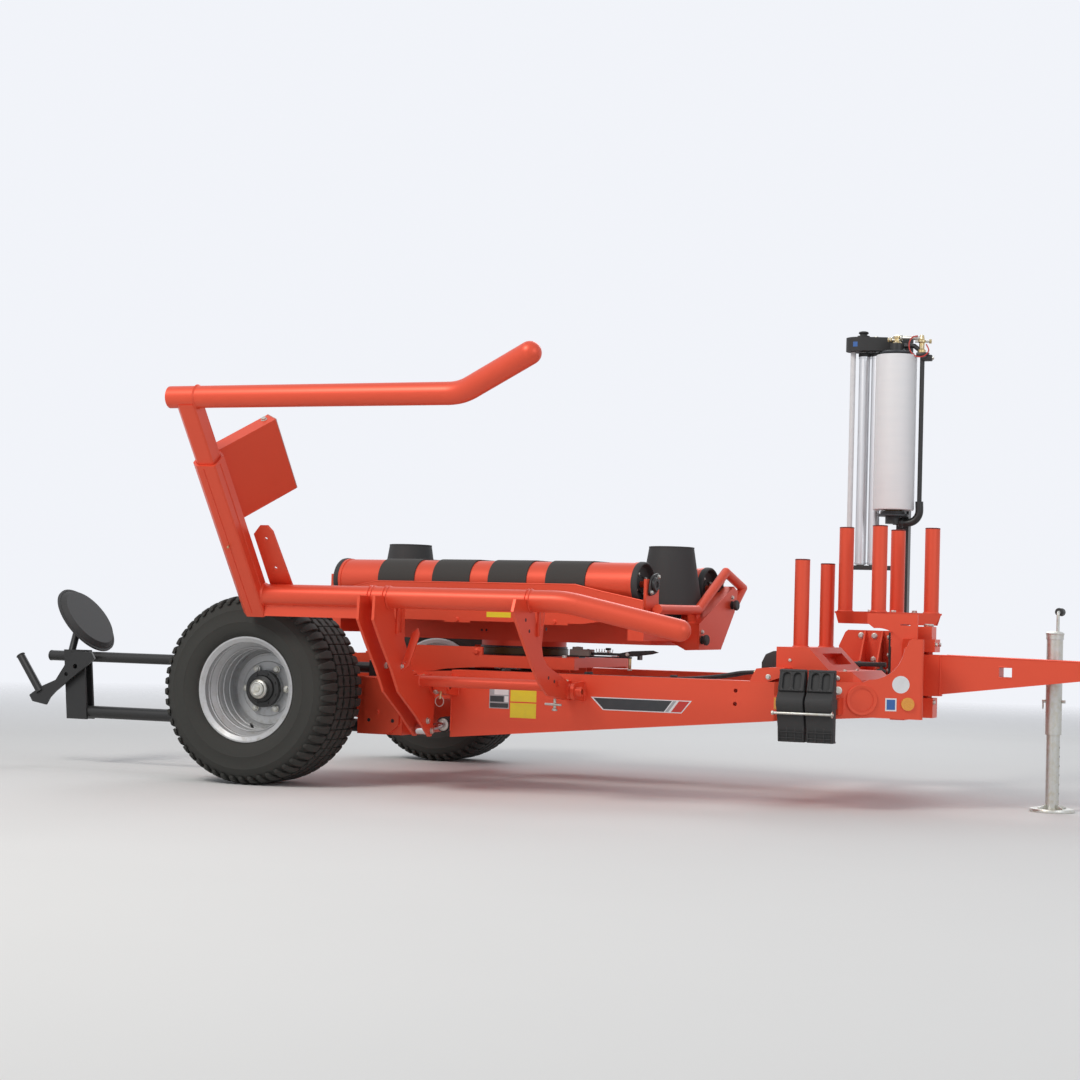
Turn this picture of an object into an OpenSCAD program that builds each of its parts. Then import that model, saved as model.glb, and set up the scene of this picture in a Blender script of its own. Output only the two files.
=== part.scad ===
/* [Wheels] */
// Outer radius of a tyre
tyre_r = 424; // [420:1:426]
// Width of a tyre
tyre_w = 390; // [380:2:392]
// Radius of a rim's flange
rim_r = 236; // [234:1:238]
// Distance of a wheel from the middle
half_track = 1040; // [1036:1:1050]

/* [Chassis] */
// Distance from the middle to a side beam's outer face
beam_y = 750; // [748:1:752]
// Width of a side beam
beam_w = 100; // [96:1:104]
// Height of the side beams' top
beam_top = 535; // [530:1:538]
// Front end of the straight side beams
beam_front = 2300; // [2290:2:2310]

/* [Turntable] */
// Middle of the turntable, ahead of the wheels' axis
table_x = 850; // [845:1:855]
// How far the table is turned at rest
table_turn = -8; // [-10:1:-6]
// Half the distance between the two rollers
roller_y = 350; // [346:1:352]
// Height of the rollers' axes
roller_z = 945; // [943:1:948]
// Radius of a roller
roller_r = 97; // [95:1:98]
// Length of a roller's barrel
roller_len = 1560; // [1550:2:1564]
// Width of a belt
belt_w = 205; // [190:5:215]
// Distance between the belts' middles
belt_pitch = 306; // [300:1:308]

/* [Loading arm] */
// Lean of the mast, outwards
arm_lean = 37.3; // [36.5:0.1:38]
// Radius of the arm's two long tubes
arm_tube_r = 46; // [44:1:48]
// Distance between the two long tubes
arm_span = 1007; // [1000:1:1015]
// Side of the mast's sliding section
mast_w = 96; // [94:1:98]

/* [Film dispenser] */
// Distance of the dispenser from the middle
film_y = 650; // [645:1:655]
// Radius of the film roll
film_r = 98; // [80:1:100]
// Height of the film roll's lower end
film_z = 1350; // [1348:1:1352]
// Length of the film roll
film_len = 750; // [745:1:752]

/* [Drawbar] */
// Distance of the hitch eye ahead of the wheels' axis
hitch_x = 3850; // [3840:5:3870]
// Height of the hitch eye
hitch_z = 610; // [605:1:615]
// Radius of the hitch eye's bore
hitch_bore_r = 25; // [24:0.5:26]

/* [Hidden] */
$fn = 48;
red = "#d8301c";
dark_red = "#8c1c16";
black = "#26262a";
zinc = "#b8b8b0";
running = 0.05;
room = 5;

// Chassis
beam_bottom_rear = 232;
beam_bottom_front = 368;
beam_rear = 800;
cross_rear = 335;
cross_front = 560;
cross_bottom = 228;
cross_top = 490;
pocket_y = 600;
stub_r = 42;
stub_tip = 1035;

// Nose and drawbar
nose_angle = 22;
nose_len = 625;
nose_t = 14;
nose_top = 734;
post_front = 2778;
post_near = -346;
post_far = -76;
upright_x = 2714;
chock_x = 2335;
hinge_x = 2850;
hinge_y = -210;
hinge_pin_r = 20;
drawbar_w = 130;
jack_x = 3380;
jack_y = -90;

// Roll carriers
shelf_x = 2640;
shelf_y = -85;
shelf_z = 850;
console_z = 685;
roll_tube_r = 33;

// Tilt frame and its cylinder
tilt_x = 150;
tilt_z = 560;
tilt_lug_y = 430;
tilt_pin_r = 15;
tilt_foot = [620, 300];
tilt_head = [1150, 500];

// Guide cones
cone_x = 732;
cone_y = 95;
cone_pin_r = 18;

// Loading arm, its pivot and its cylinder
arm_y = -1330;
arm_z = 848;
pivot_y = -860;
pivot_z = 463;
pivot_pin_r = 20;
front_plate_x = 1394;
rear_plates_x = [670, 742];
plate_t = 12;
lever_end = [-860, 268];
arm_foot_x = 712;
arm_foot = [-225, 300];
arm_barrel_r = 32;
arm_rod_r = 16;
tilt_barrel_r = 38;
tilt_rod_r = 20;
cylinder_pin_r = 14;
mast_x = 94;

// Stretch rollers
stretch_x = [2342, 2404];
stretch_r = 27;
roll_core_r = 38;

// Rear tipping frame and disc
tipper_y = -620;
disc_centre = [-1266, -552, 714];
disc_lean = 53;

function angle_of(v) = atan2(v[1], v[0]);

// A box given by its two corners
module span(a, b) translate(a) cube(b - a);

// A plate standing across the machine, its outline in y and z
module cross_plate(x, t) translate([x, 0, 0]) rotate([90, 0, 90]) linear_extrude(t) children();

// A plate standing along the machine, its outline in x and z
module side_plate(y, t) translate([0, y + t, 0]) rotate([90, 0, 0]) linear_extrude(t) children();

// Round bars along each axis
module bar_x(x, y, z, r, len) translate([x, y, z]) rotate([0, 90, 0]) cylinder(r = r, h = len);
module bar_y(x, y, z, r, len) translate([x, y, z]) rotate([-90, 0, 0]) cylinder(r = r, h = len);
module bar_z(x, y, z, r, len) translate([x, y, z]) cylinder(r = r, h = len);

// A bar with a round end
module dome_bar(r, len) rotate_extrude() {
    square([r, len]);
    translate([0, len]) intersection() {
        circle(r = r);
        square(r);
    }
}

// A round bar through a list of points
module bent_bar(points, r) for (i = [1:len(points) - 1]) {
    v = points[i] - points[i - 1];
    translate(points[i - 1]) rotate([0, acos(v[2] / norm(v)), angle_of(v)]) {
        cylinder(r = r, h = norm(v));
        if (i < len(points) - 1) translate([0, 0, norm(v)]) sphere(r = r + 0.3);
    }
}

// A tube along x whose front end bends up or down by an angle
module bent_front_tube(x0, x1, bend_r, angle, tip, r) {
    side = angle > 0 ? 1 : -1;
    bar_x(x0, 0, 0, r, x1 - x0);
    translate([x1, 0, 0]) rotate([0, 90, 0]) sphere(r = r + 0.4);
    translate([x1, 0, side * bend_r]) {
        rotate([90, 0, 0]) rotate([0, 0, side > 0 ? -90 : 90 + angle])
            rotate_extrude(angle = abs(angle)) translate([bend_r, 0]) circle(r = r);
        rotate([0, 90 - angle, 0]) translate([side * bend_r, 0, 0]) {
            sphere(r = r + 0.4);
            dome_bar(r, tip);
        }
    }
}

// The machine stands with the hitch eye at the origin
module placed() translate([-hitch_x, -hinge_y, -hitch_z]) children();

// The loading arm's own axes: x along the tubes, z up the mast
module arm_axes() translate([0, arm_y, arm_z]) rotate([arm_lean, 0, 0]) children();

// The table's own axes: x along its rollers
module table_axes() translate([table_x, 0, 0]) rotate([0, 0, table_turn]) children();

// A wheel's own axes: z towards the machine
module wheel_axes(side) translate([0, side * half_track, tyre_r]) rotate([side * 90, 0, 0]) children();

module side_beam(s) side_plate(s > 0 ? beam_y - beam_w : -beam_y, beam_w) difference() {
    polygon([
        [beam_rear, beam_top], [beam_front, beam_top], [beam_front, beam_bottom_front],
        [beam_rear, beam_bottom_rear]
    ]);
    for (z = [435, 492]) translate([2128 + (z > 450 ? 2 : 0), z]) circle(r = 9);
}

// The piece that carries a wheel's stub, behind the cross-member
module stub_arm(s) side_plate(s > 0 ? 690 : -beam_y, 60) polygon([
    [cross_rear, cross_top], [cross_rear, 300], [240, 322], [40, 352], [-50, 372], [-80, 400], [-80, 460], [-50, 488]
]);

// The wall that joins the cross-member to a beam, open below for the arm's cylinder
module pocket_wall(s) side_plate(s > 0 ? pocket_y : -pocket_y - 50, 50) polygon([
    [cross_front, cross_bottom], [650, cross_bottom + 5], [650, 400], [774, 400], [774, 240],
    [beam_rear + 60, 248], [beam_rear + 60, beam_top], [cross_front, beam_top - 20]
]);

module tilt_lug(s) difference() {
    union() {
        side_plate(s > 0 ? tilt_lug_y : -tilt_lug_y - 30, 30) polygon([
            [cross_rear, 400], [cross_rear, cross_top], [tilt_x + 32, tilt_z + 8], [tilt_x - 32, tilt_z + 8],
            [tilt_x - 46, 480], [tilt_x - 20, 420]
        ]);
        bar_y(tilt_x, s > 0 ? tilt_lug_y : -tilt_lug_y - 30, tilt_z, 34, 30);
    }
    bar_y(tilt_x, s > 0 ? tilt_lug_y - 10 : -tilt_lug_y - 40, tilt_z, tilt_pin_r + running, 50);
}

module pivot_lug(x, t, inner) difference() {
    cross_plate(x, t) {
        translate([pivot_y, pivot_z]) circle(r = 36);
        polygon([
            [pivot_y, pivot_z - 36], [inner, pivot_z - 44], [inner, pivot_z + 44], [pivot_y, pivot_z + 36]
        ]);
    }
}

module chassis_frame() color(red) {
    for (s = [-1, 1]) {
        side_beam(s);
        stub_arm(s);
        pocket_wall(s);
        tilt_lug(s);
    }
    span([cross_rear, -beam_y, cross_bottom], [cross_front, beam_y, cross_top]);
    side_plate(-beam_y - 12, 12) difference() {
        polygon([[372, 487], [372, 275], [416, 232], [507, 237], [548, 275], [548, 487]]);
        for (x = [397, 517]) translate([x, 292]) circle(r = 9);
    }
    span([2150, -beam_y + beam_w, 390], [2290, beam_y - beam_w, 520]);
    pivot_lug(575, 70, -640);
    pivot_lug(775, 60, -beam_y);
    pivot_lug(1360, 16, -beam_y);
    pivot_lug(1424, 16, -beam_y);
    bar_x(575, pivot_y, pivot_z, pivot_pin_r, 260);
    bar_x(1350, pivot_y, pivot_z, pivot_pin_r, 112);
    for (y = [-tilt_barrel_r - room - 12, tilt_barrel_r + room]) side_plate(y, 12)
        polygon([[cross_front, 240], [640, 270], [652, 300], [640, 330], [cross_front, 380]]);
    bar_y(tilt_foot[0], -tilt_barrel_r - room, tilt_foot[1], cylinder_pin_r, 2 * (tilt_barrel_r + room));
    span([cross_front, -180, 250], [arm_foot_x + 60, -110, 350]);
    for (x = [-arm_barrel_r - room - 12, arm_barrel_r + room]) cross_plate(arm_foot_x + x, 12) {
        translate(arm_foot) circle(r = 30);
        polygon([[arm_foot[0], 270], [-175, 260], [-175, 340], [arm_foot[0], 330]]);
    }
    bar_x(arm_foot_x - arm_barrel_r - room, arm_foot[0], arm_foot[1], cylinder_pin_r, 2 * (arm_barrel_r + room));
}

// The near side of the nose: x along the plate, y to its inner side
module nose_axes() translate([beam_front, -beam_y, 0]) rotate([0, 0, nose_angle]) children();

module nose_plate() rotate([90, 0, 0]) translate([0, 0, -nose_t]) {
    linear_extrude(nose_t) difference() {
        polygon([
            [-20, beam_bottom_front], [-20, beam_top], [380, beam_top + 10], [405, beam_top + 21], [566, 705],
            [572, nose_top - 8], [587, nose_top], [nose_len, nose_top], [nose_len, 391], [421, 395]
        ]);
        translate([405, 705]) circle(r = 149);
    }
    translate([374, 469, nose_t]) difference() {
        cylinder(r = 66, h = 8);
        translate([0, 0, 3]) cylinder(r = 53, h = 10);
    }
    for (z = [452, 506]) translate([272, z, nose_t]) cylinder(r = 13, h = 8, $fn = 6);
}

// The plate that turns in from the nose's rounded end to the post
module nose_return() {
    tip = [beam_front + nose_len * cos(nose_angle), nose_len * sin(nose_angle) - beam_y];
    bar_z(tip[0] - 5, tip[1] + 13, 391, 13, nose_top - 391);
    translate([0, 0, 391]) linear_extrude(nose_top - 391) polygon([
        [tip[0] + 6, tip[1] + 20], [post_front, post_near], [post_front - 20, post_near], [tip[0] - 8, tip[1] + 6]
    ]);
}

// The plate below the shelf, cut out round above the nose
module shelf_bracket() side_plate(post_near - 12, 12) difference() {
    polygon([
        [2608, 800], [2608, shelf_z - 8], [2830, shelf_z - 8], [2830, 735], [2790, 700], [2790, 560], [2764, 560],
        [2764, 680]
    ]);
    translate([2655, 648]) circle(r = 130);
    translate([2754, 792]) square([44, 6]);
}

module front_frame() color(red) {
    difference() {
        nose_axes() nose_plate();
        span([beam_front - 60, -beam_y - 20, 300], [beam_front, -600, 600]);
    }
    nose_return();
    shelf_bracket();
    span([beam_front, -beam_y, 405], [chock_x + 245, -beam_y + 6, 478]);
    span([chock_x + 230, -beam_y + 6, 405], [chock_x + 240, -632, 478]);
    span([beam_front, beam_y - beam_w, 375], [2620, beam_y, beam_top]);
    span([2560, post_far + 16, 390], [2700, beam_y - beam_w, 520]);
    span([beam_front, -640, 395], [2560, -580, 520]);
    span([2440, -580, 395], [2560, post_far + 16, 520]);
    span([2560, post_near + 60, 395], [upright_x, post_far, 520]);
    cross_plate(upright_x, 12) polygon([
        [post_near, 380], [post_far, 380], [post_far, shelf_z - 8], [post_near, shelf_z - 8]
    ]);
    span([upright_x, post_near - 4, 560], [post_front, post_near, 790]);
}

module hinge_post() color(dark_red) difference() {
    union() {
        span([upright_x + 12, post_near, 380], [post_front, post_far, 790]);
        span([post_front, hinge_y - 52, 391], [2884, hinge_y + 52, 478]);
        span([post_front, hinge_y - 52, 679], [2874, hinge_y + 52, 790]);
        span([post_front, hinge_y - 60, 679], [2890, hinge_y + 60, 735]);
    }
    bar_z(hinge_x, hinge_y, 380, hinge_pin_r + running, 370);
}

module roll_shelf() color(red) {
    translate([shelf_x, shelf_y, shelf_z - 8]) rotate([0, 0, 45]) difference() {
        union() {
            translate([-172, -172, 0]) cube([344, 344, 8]);
            for (a = [0:90:270]) rotate([0, 0, a]) translate([-172, 0, -46]) rotate([90, 0, 0]) translate([0, 0, 166])
                linear_extrude(6) polygon([[32, 0], [312, 0], [337, 46], [7, 46]]);
        }
        rotate([0, 0, -45]) translate([-shelf_x, -shelf_y, 8 - shelf_z]) {
            span([upright_x - 6, post_near - 18, 700], [post_front + 6, post_far + 10, shelf_z - 8]);
            span([2600, post_near - 18, 700], [2836, post_near + 6, shelf_z - 8]);
            span([post_front, hinge_y - 66, 700], [2896, hinge_y + 66, 796]);
        }
    }
    for (i = [0:3]) bar_z(shelf_x + 195 * cos(90 * i), shelf_y + 195 * sin(90 * i), shelf_z - 4, roll_tube_r, 384);
}

module roll_console() color(red) {
    difference() {
        side_plate(-610, 610) polygon([
            [2269, 520], [2650, 520], [2640, 552], [2600, 587], [2505, 587], [2410, console_z], [2269, console_z]
        ]);
        nose_axes() translate([-300, -400, 300]) cube([1000, 400 + nose_t + 0.5, 600]);
        side_plate(-460, 370) polygon([[2400, 640], [2437, 661], [2485, 614], [2440, 590]]);
    }
    side_plate(-beam_y + 4, beam_y - 614) polygon([
        [2190, beam_top], [2200, 558], [2218, 590], [2269, 596], [2340, 596], [2340, 560], [2269, beam_top]
    ]);
    bar_z(2330, -430, console_z, roll_tube_r, 385);
    bar_z(2350, -40, console_z, roll_tube_r, 380);
}

module axle_stubs() color(dark_red) for (s = [-1, 1]) {
    bar_y(0, s > 0 ? beam_y : -stub_tip, tyre_r, stub_r, stub_tip - beam_y);
    bar_y(0, s > 0 ? beam_y : -beam_y - 30, tyre_r, 70, 30);
}

module wheel_chock() rotate([90, 0, 90]) linear_extrude(116) polygon([
    [0, 285], [-62, 285], [-70, 350], [-92, 420], [-105, 440], [-105, 470], [-88, 500], [-60, 592], [-34, 596],
    [-18, 520], [-18, 300]
]);

module wheel_chocks() color(black) translate([0, -beam_y, 0]) {
    for (i = [0, 1]) translate([chock_x + i * 124, 0, 0]) wheel_chock();
    span([chock_x, -18, 430], [chock_x + 240, 0, 470]);
}

module reflectors() color("orange") {
    nose_axes() translate([570, 0, 457]) rotate([90, 0, 0]) cylinder(r = 28, h = 10);
    span([2302, -beam_y - 8, 420], [2324, -beam_y, 470]);
}

module dispenser_base() color(red) {
    span([2240, 520, beam_top], [2500, film_y + 100, 547]);
    side_plate(680, 10) polygon([[2240, 547], [2240, 690], [2270, 756], [2284, 768], [2500, 768], [2500, 547]]);
    for (x = [2368, 2453]) cross_plate(x, 8) polygon([[525, 547], [520, 570], [670, 768], [680, 768], [680, 547]]);
}

module dispenser_mast() color(black) {
    difference() {
        span([2508, film_y + 40, beam_top], [2568, film_y + 100, 2130]);
        span([2512, film_y + 44, beam_top - 1], [2564, film_y + 96, 2100]);
    }
    span([2500, film_y - 40, beam_top], [2508, film_y + 100, 760]);
    span([2528, film_y - 70, 1278], [2548, film_y + 40, 1302]);
    bent_bar([
        [2515, film_y - 70, 1290], [2600, film_y - 70, 1290], [2640, film_y - 70, 1335],
        [2640, film_y - 70, 2112], [2600, film_y - 70, 2145], [2515, film_y - 70, 2145]
    ], 11);
    bar_z(2515, film_y - 70, 1284, roll_core_r - 0.3, 100);
    bar_z(2515, film_y - 70, 1320, 62, 24);
    bar_z(2515, film_y - 70, 2066, roll_core_r - 0.3, 90);
    bar_z(2515, film_y - 70, 2106, 62, 14);
}

module dispenser_head() color(black) {
    difference() {
        union() {
            translate([0, 0, 2130]) linear_extrude(66) difference() {
                hull() {
                    translate([2320, film_y - 5]) circle(r = 68);
                    translate([2500, film_y + 60]) circle(r = 68);
                }
                translate([2515, film_y - 70]) circle(r = 62);
            }
            bar_z(2335, film_y, 2196, 30, 12);
            bar_z(2335, film_y, 2208, 18, 14);
            span([2270, film_y - 40, 1062], [2508, film_y + 40, 1082]);
            span([2480, film_y - 40, 1062], [2508, film_y + 90, 1082]);
            bar_z(2286, film_y, 1082, 10, 1048);
        }
        for (x = stretch_x) bar_z(x, film_y + 6, 1050, 8 + running, 1100);
    }
}

module tipper_frame() color(black) {
    bar_x(-1420, tipper_y, 528, 25, 1420 + cross_rear + 20);
    span([cross_rear + 5, tipper_y - 35, cross_top], [cross_rear + 55, tipper_y + 35, 560]);
    bar_x(-1220, tipper_y, 258, 30, 1220 + cross_rear);
    side_plate(tipper_y - 36, 12) polygon([[-1330, 560], [-1215, 560], [-1185, 222], [-1300, 222]]);
    side_plate(tipper_y + 24, 12) polygon([[-1330, 560], [-1215, 560], [-1185, 222], [-1300, 222]]);
    side_plate(tipper_y - 70, 12) difference() {
        polygon([
            [-1500, 330], [-1480, 300], [-1400, 286], [-1380, 322], [-1350, 352], [-1130, 520], [-1150, 552],
            [-1250, 552], [-1290, 500], [-1350, 410], [-1440, 372]
        ]);
        translate([-1240, 480]) circle(r = 12);
        translate([-1290, 440]) circle(r = 10);
    }
    span([-1290, tipper_y - 60, 500], [-1230, tipper_y - 30, 545]);
    bent_bar([[-1440, tipper_y - 64, 350], [-1560, tipper_y - 64, 520]], 20);
    n = [sin(disc_lean), 0, cos(disc_lean)];
    bent_bar([[-1310, tipper_y, 545], disc_centre - 70 * n, disc_centre + n], 18);
}

module tipping_disc() color(black) translate(disc_centre) rotate([0, disc_lean, 0]) rotate_extrude($fn = 64) polygon([
    [0, 2], [40, 2], [40, 8], [150, 8], [172, -18], [184, -18], [184, -12], [176, -12], [155, 14], [0, 14]
]);

module tyre(side) color(black) wheel_axes(side) rotate_extrude($fn = 96) {
    half = tyre_w / 2;
    tread = [
        [rim_r - 17.7, -157], [rim_r + 2, -159], [rim_r + 6, -174], [290, -half], [350, -half + 4], [398, -half + 24],
        [tyre_r - 4, -half + 60], [tyre_r, -half + 100]
    ];
    inner = [[rim_r - 17.7, -125], [rim_r + 20, -150], [385, -155], [400, -120]];
    polygon(concat(tread, [for (i = [len(tread) - 1:-1:0]) [tread[i][0], -tread[i][1]]],
        [for (p = inner) [p[0], -p[1]]], [for (i = [len(inner) - 1:-1:0]) inner[i]]));
}

module rim(side) color("#c8c8c4") wheel_axes(side) difference() {
    union() {
        rotate_extrude($fn = 96) {
            outer = [[rim_r, 168], [rim_r, 162], [rim_r - 18, 158], [rim_r - 18, 120], [rim_r - 40, 88], [rim_r - 46, 70]];
            polygon(concat(outer, [for (i = [len(outer) - 1:-1:0]) [outer[i][0], -outer[i][1]]],
                [for (p = outer) [p[0] - 7, p[0] > rim_r - 1 ? -168 : -p[1] + 2]],
                [for (i = [len(outer) - 1:-1:0]) [outer[i][0] - 7, outer[i][0] > rim_r - 1 ? 168 : outer[i][1] - 2]]));
            polygon([
                [rim_r - 50, 70], [rim_r - 50, 58], [rim_r - 66, 50], [rim_r - 84, 42], [58, 42],
                [58, 52], [rim_r - 86, 52], [rim_r - 70, 60]
            ]);
        }
        cylinder(r = 62, h = 120);
        translate([0, 0, -12]) cylinder(r = 80, h = 56);
        translate([0, 0, -46]) cylinder(r = 40, h = 36);
        for (i = [0:5]) rotate([0, 0, i * 60]) translate([102, 0, 26]) cylinder(r = 15, h = 18, $fn = 6);
    }
    cylinder(r = stub_r + running, h = 130);
}

module drawbar_beam() color(red) {
    difference() {
        side_plate(hinge_y - drawbar_w / 2, drawbar_w) polygon([
            [hinge_x, 487], [3560, 580], [3620, 582], [3620, 640], [3560, 656], [hinge_x, 668]
        ]);
        span([3170, hinge_y - 200, 576], [3225, hinge_y + 200, 626]);
    }
    bar_z(hinge_x, hinge_y, 487, drawbar_w / 2, 181);
    bar_z(hinge_x, hinge_y, 400, hinge_pin_r, 330);
}

module hitch_eye() color(zinc) difference() {
    union() {
        bar_z(hitch_x, hinge_y, hitch_z - 15, 52, 30);
        span([3620, hinge_y - 30, hitch_z - 15], [hitch_x - 30, hinge_y + 30, hitch_z + 15]);
    }
    bar_z(hitch_x, hinge_y, hitch_z - 30, hitch_bore_r, 60);
}

module jack_sleeve() color(zinc) difference() {
    union() {
        bar_z(jack_x, jack_y, 335, 35, 415);
        bar_z(jack_x, jack_y, 750, 38, 20);
        span([jack_x - 30, hinge_y + drawbar_w / 2, 590], [jack_x + 30, jack_y - 20, 640]);
    }
    bar_z(jack_x, jack_y, 325, 30, 415);
}

module jack_leg() color(zinc) {
    bar_z(jack_x, jack_y, 12, 29, 420);
    bar_z(jack_x, jack_y, 0, 95, 12);
}

module tilt_frame() {
    color(dark_red) {
        for (s = [-1, 1]) {
            span([tilt_x + 45, s > 0 ? 340 : -400, 545], [1260, s > 0 ? 400 : -340, 600]);
            span([tilt_x + 130, s > 0 ? 400 : -485, 545], [tilt_x + 200, s > 0 ? 485 : -400, 600]);
            side_plate(s > 0 ? tilt_lug_y + 35 : -tilt_lug_y - 55, 20) {
                polygon([[tilt_x, 530], [tilt_x + 200, 545], [tilt_x + 200, 600], [tilt_x, 590]]);
                translate([tilt_x, tilt_z]) circle(r = 30);
            }
            bar_y(tilt_x, s > 0 ? tilt_lug_y : -tilt_lug_y - 55, tilt_z, tilt_pin_r, 55);
        }
        for (y = [-400, 385]) side_plate(y, 15) polygon([
            [395, 600], [395, 530], [480, 508], [610, 530], [800, 545], [800, 638], [430, 638]
        ]);
        span([tilt_x + 130, -340, 555], [tilt_x + 200, 340, 600]);
        span([1180, -340, 555], [1260, 340, 600]);
        span([table_x - 210, -340, 585], [table_x + 210, 340, 600]);
        for (y = [-48, 36]) side_plate(y, 12) polygon([[1110, 555], [1190, 555], [1185, 480], [1150, 462], [1115, 480]]);
    }
}

module slewing_bearing() color(black) difference() {
    bar_z(table_x, 0, 600, 210, 44.7);
    bar_z(table_x, 0, 599, 120, 47);
}

module film_cutter() color(black) {
    span([1190, -330, 600], [1250, -230, 612]);
    bar_z(1220, -280, 612, 24, 18);
    span([1220, -290, 616], [1540, -270, 628]);
    span([1530, -300, 600], [1542, -260, 640]);
}

module tilt_cylinder_axes() translate([tilt_foot[0], 0, tilt_foot[1]])
    rotate([0, 90 - angle_of(tilt_head - tilt_foot), 0]) children();

module tilt_cylinder_barrel() color(black) tilt_cylinder_axes() difference() {
    union() {
        translate([0, 0, 15]) cylinder(r = tilt_barrel_r, h = 490);
        translate([0, 0, 470]) cylinder(r = tilt_barrel_r + 3, h = 35);
        rotate([90, 0, 0]) translate([0, 0, -tilt_barrel_r]) cylinder(r = 30, h = 2 * tilt_barrel_r);
    }
    rotate([90, 0, 0]) translate([0, 0, -60]) cylinder(r = cylinder_pin_r + running, h = 120);
    translate([0, 0, 40]) cylinder(r = tilt_rod_r + running, h = 500);
}

module tilt_cylinder_rod() color(zinc) tilt_cylinder_axes() {
    len = norm(tilt_head - tilt_foot);
    translate([0, 0, 45]) cylinder(r = tilt_rod_r, h = len - 55);
    translate([0, 0, len]) rotate([90, 0, 0]) translate([0, 0, -25]) cylinder(r = 28, h = 50);
}

module table_frame() color(dark_red) table_axes() {
    difference() {
        span([-780, -205, 670], [780, 205, 785]);
        for (s = [-1, 1]) span([s > 0 ? 230 : -610, -193, 682], [s > 0 ? 610 : -230, 193, 790]);
    }
    for (s = [-1, 1]) bar_z(s * cone_x, cone_y, 785, cone_pin_r, 330);
    translate([0, 0, 645]) cylinder(r = 205, h = 35);
    for (s = [-1, 1]) {
        span([s > 0 ? 780 : -860, -436, 690], [s > 0 ? 860 : -780, 436, 773]);
        for (t = [-1, 1]) difference() {
            span([s > 0 ? 844 : -858, t * roller_y - 64, 773], [s > 0 ? 858 : -844, t * roller_y + 64, roller_z + 23]);
            bar_x(s > 0 ? 835 : -865, t * roller_y, roller_z, 15 + running, 30);
        }
    }
}

module belt_outline(r) {
    square([2 * roller_y, 2 * r], center = true);
    for (s = [-1, 1]) translate([s * roller_y, 0]) circle(r = r);
}

module table_belts() color(black) table_axes() for (i = [-1.5, -0.5, 0.5, 1.5])
    translate([i * belt_pitch - belt_w / 2, 0, roller_z]) rotate([90, 0, 90]) linear_extrude(belt_w) difference() {
        belt_outline(roller_r + 6);
        belt_outline(roller_r + 0.3);
    }

module table_guards() color(red) table_axes() for (s = [-1, 1]) {
    side_plate(s > 0 ? 462 : -466, 4) polygon([
        [-870, 868], [-560, 935], [521, 935], [650, 908], [870, 868], [870, 800], [560, 758], [490, 758], [490, 750],
        [350, 750], [350, 758], [-30, 758], [-30, 750], [-170, 750], [-170, 758], [-530, 758], [-530, 750],
        [-670, 750], [-670, 772], [-870, 800]
    ]);
    for (x = [-600, 600]) span([x - 20, s > 0 ? 205 : -462, 764], [x + 20, s > 0 ? 462 : -205, 772]);
}

module table_end_frames() color(red) table_axes() for (s = [-1, 1]) mirror([s > 0 ? 0 : 1, 0, 0]) {
    cross_plate(918, 12) polygon([[0, 774], [0, 653], [247, 656], [396, 835], [429, 932], [382, 958]]);
    side_plate(0, 8) polygon([[780, 690], [862, 650], [920, 653], [920, 774], [860, 773], [860, 690]]);
    cross_plate(870, 50) polygon([[0, 774], [382, 958], [385, 951], [8, 769], [0, 766]]);
    bent_bar([[905, -392, 834], [905, 36, 838], [905, 337, 1025], [905, 540, 955], [905, 452, 878], [905, 405, 870]], 22);
    for (y = [-340, 40]) span([860, y - 20, 740], [905, y + 20, 838]);
}

module guide_cone(s) color(black) table_axes() translate([s * cone_x, cone_y, 0]) difference() {
    union() {
        translate([0, 0, 855]) cylinder(r1 = 150, r2 = 106, h = 275);
        translate([0, 0, 785.3]) cylinder(r = 55, h = 70);
    }
    translate([0, 0, 780]) cylinder(r = cone_pin_r + running, h = 336);
}

module roller(s) color(red) table_axes() translate([0, s * roller_y, roller_z]) rotate([0, 90, 0]) {
    translate([0, 0, -roller_len / 2]) cylinder(r = roller_r, h = roller_len);
    for (z = [-roller_len / 2 - 15, roller_len / 2]) translate([0, 0, z]) cylinder(r = roller_r + 3, h = 15);
    translate([0, 0, -862]) cylinder(r = 15, h = 1724);
}

module pivot_bosses() {
    bar_x(rear_plates_x[0] - 6, pivot_y, pivot_z, 34, rear_plates_x[1] - rear_plates_x[0] + plate_t + 12);
    bar_x(front_plate_x - 10, pivot_y, pivot_z, 34, 32);
}

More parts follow.
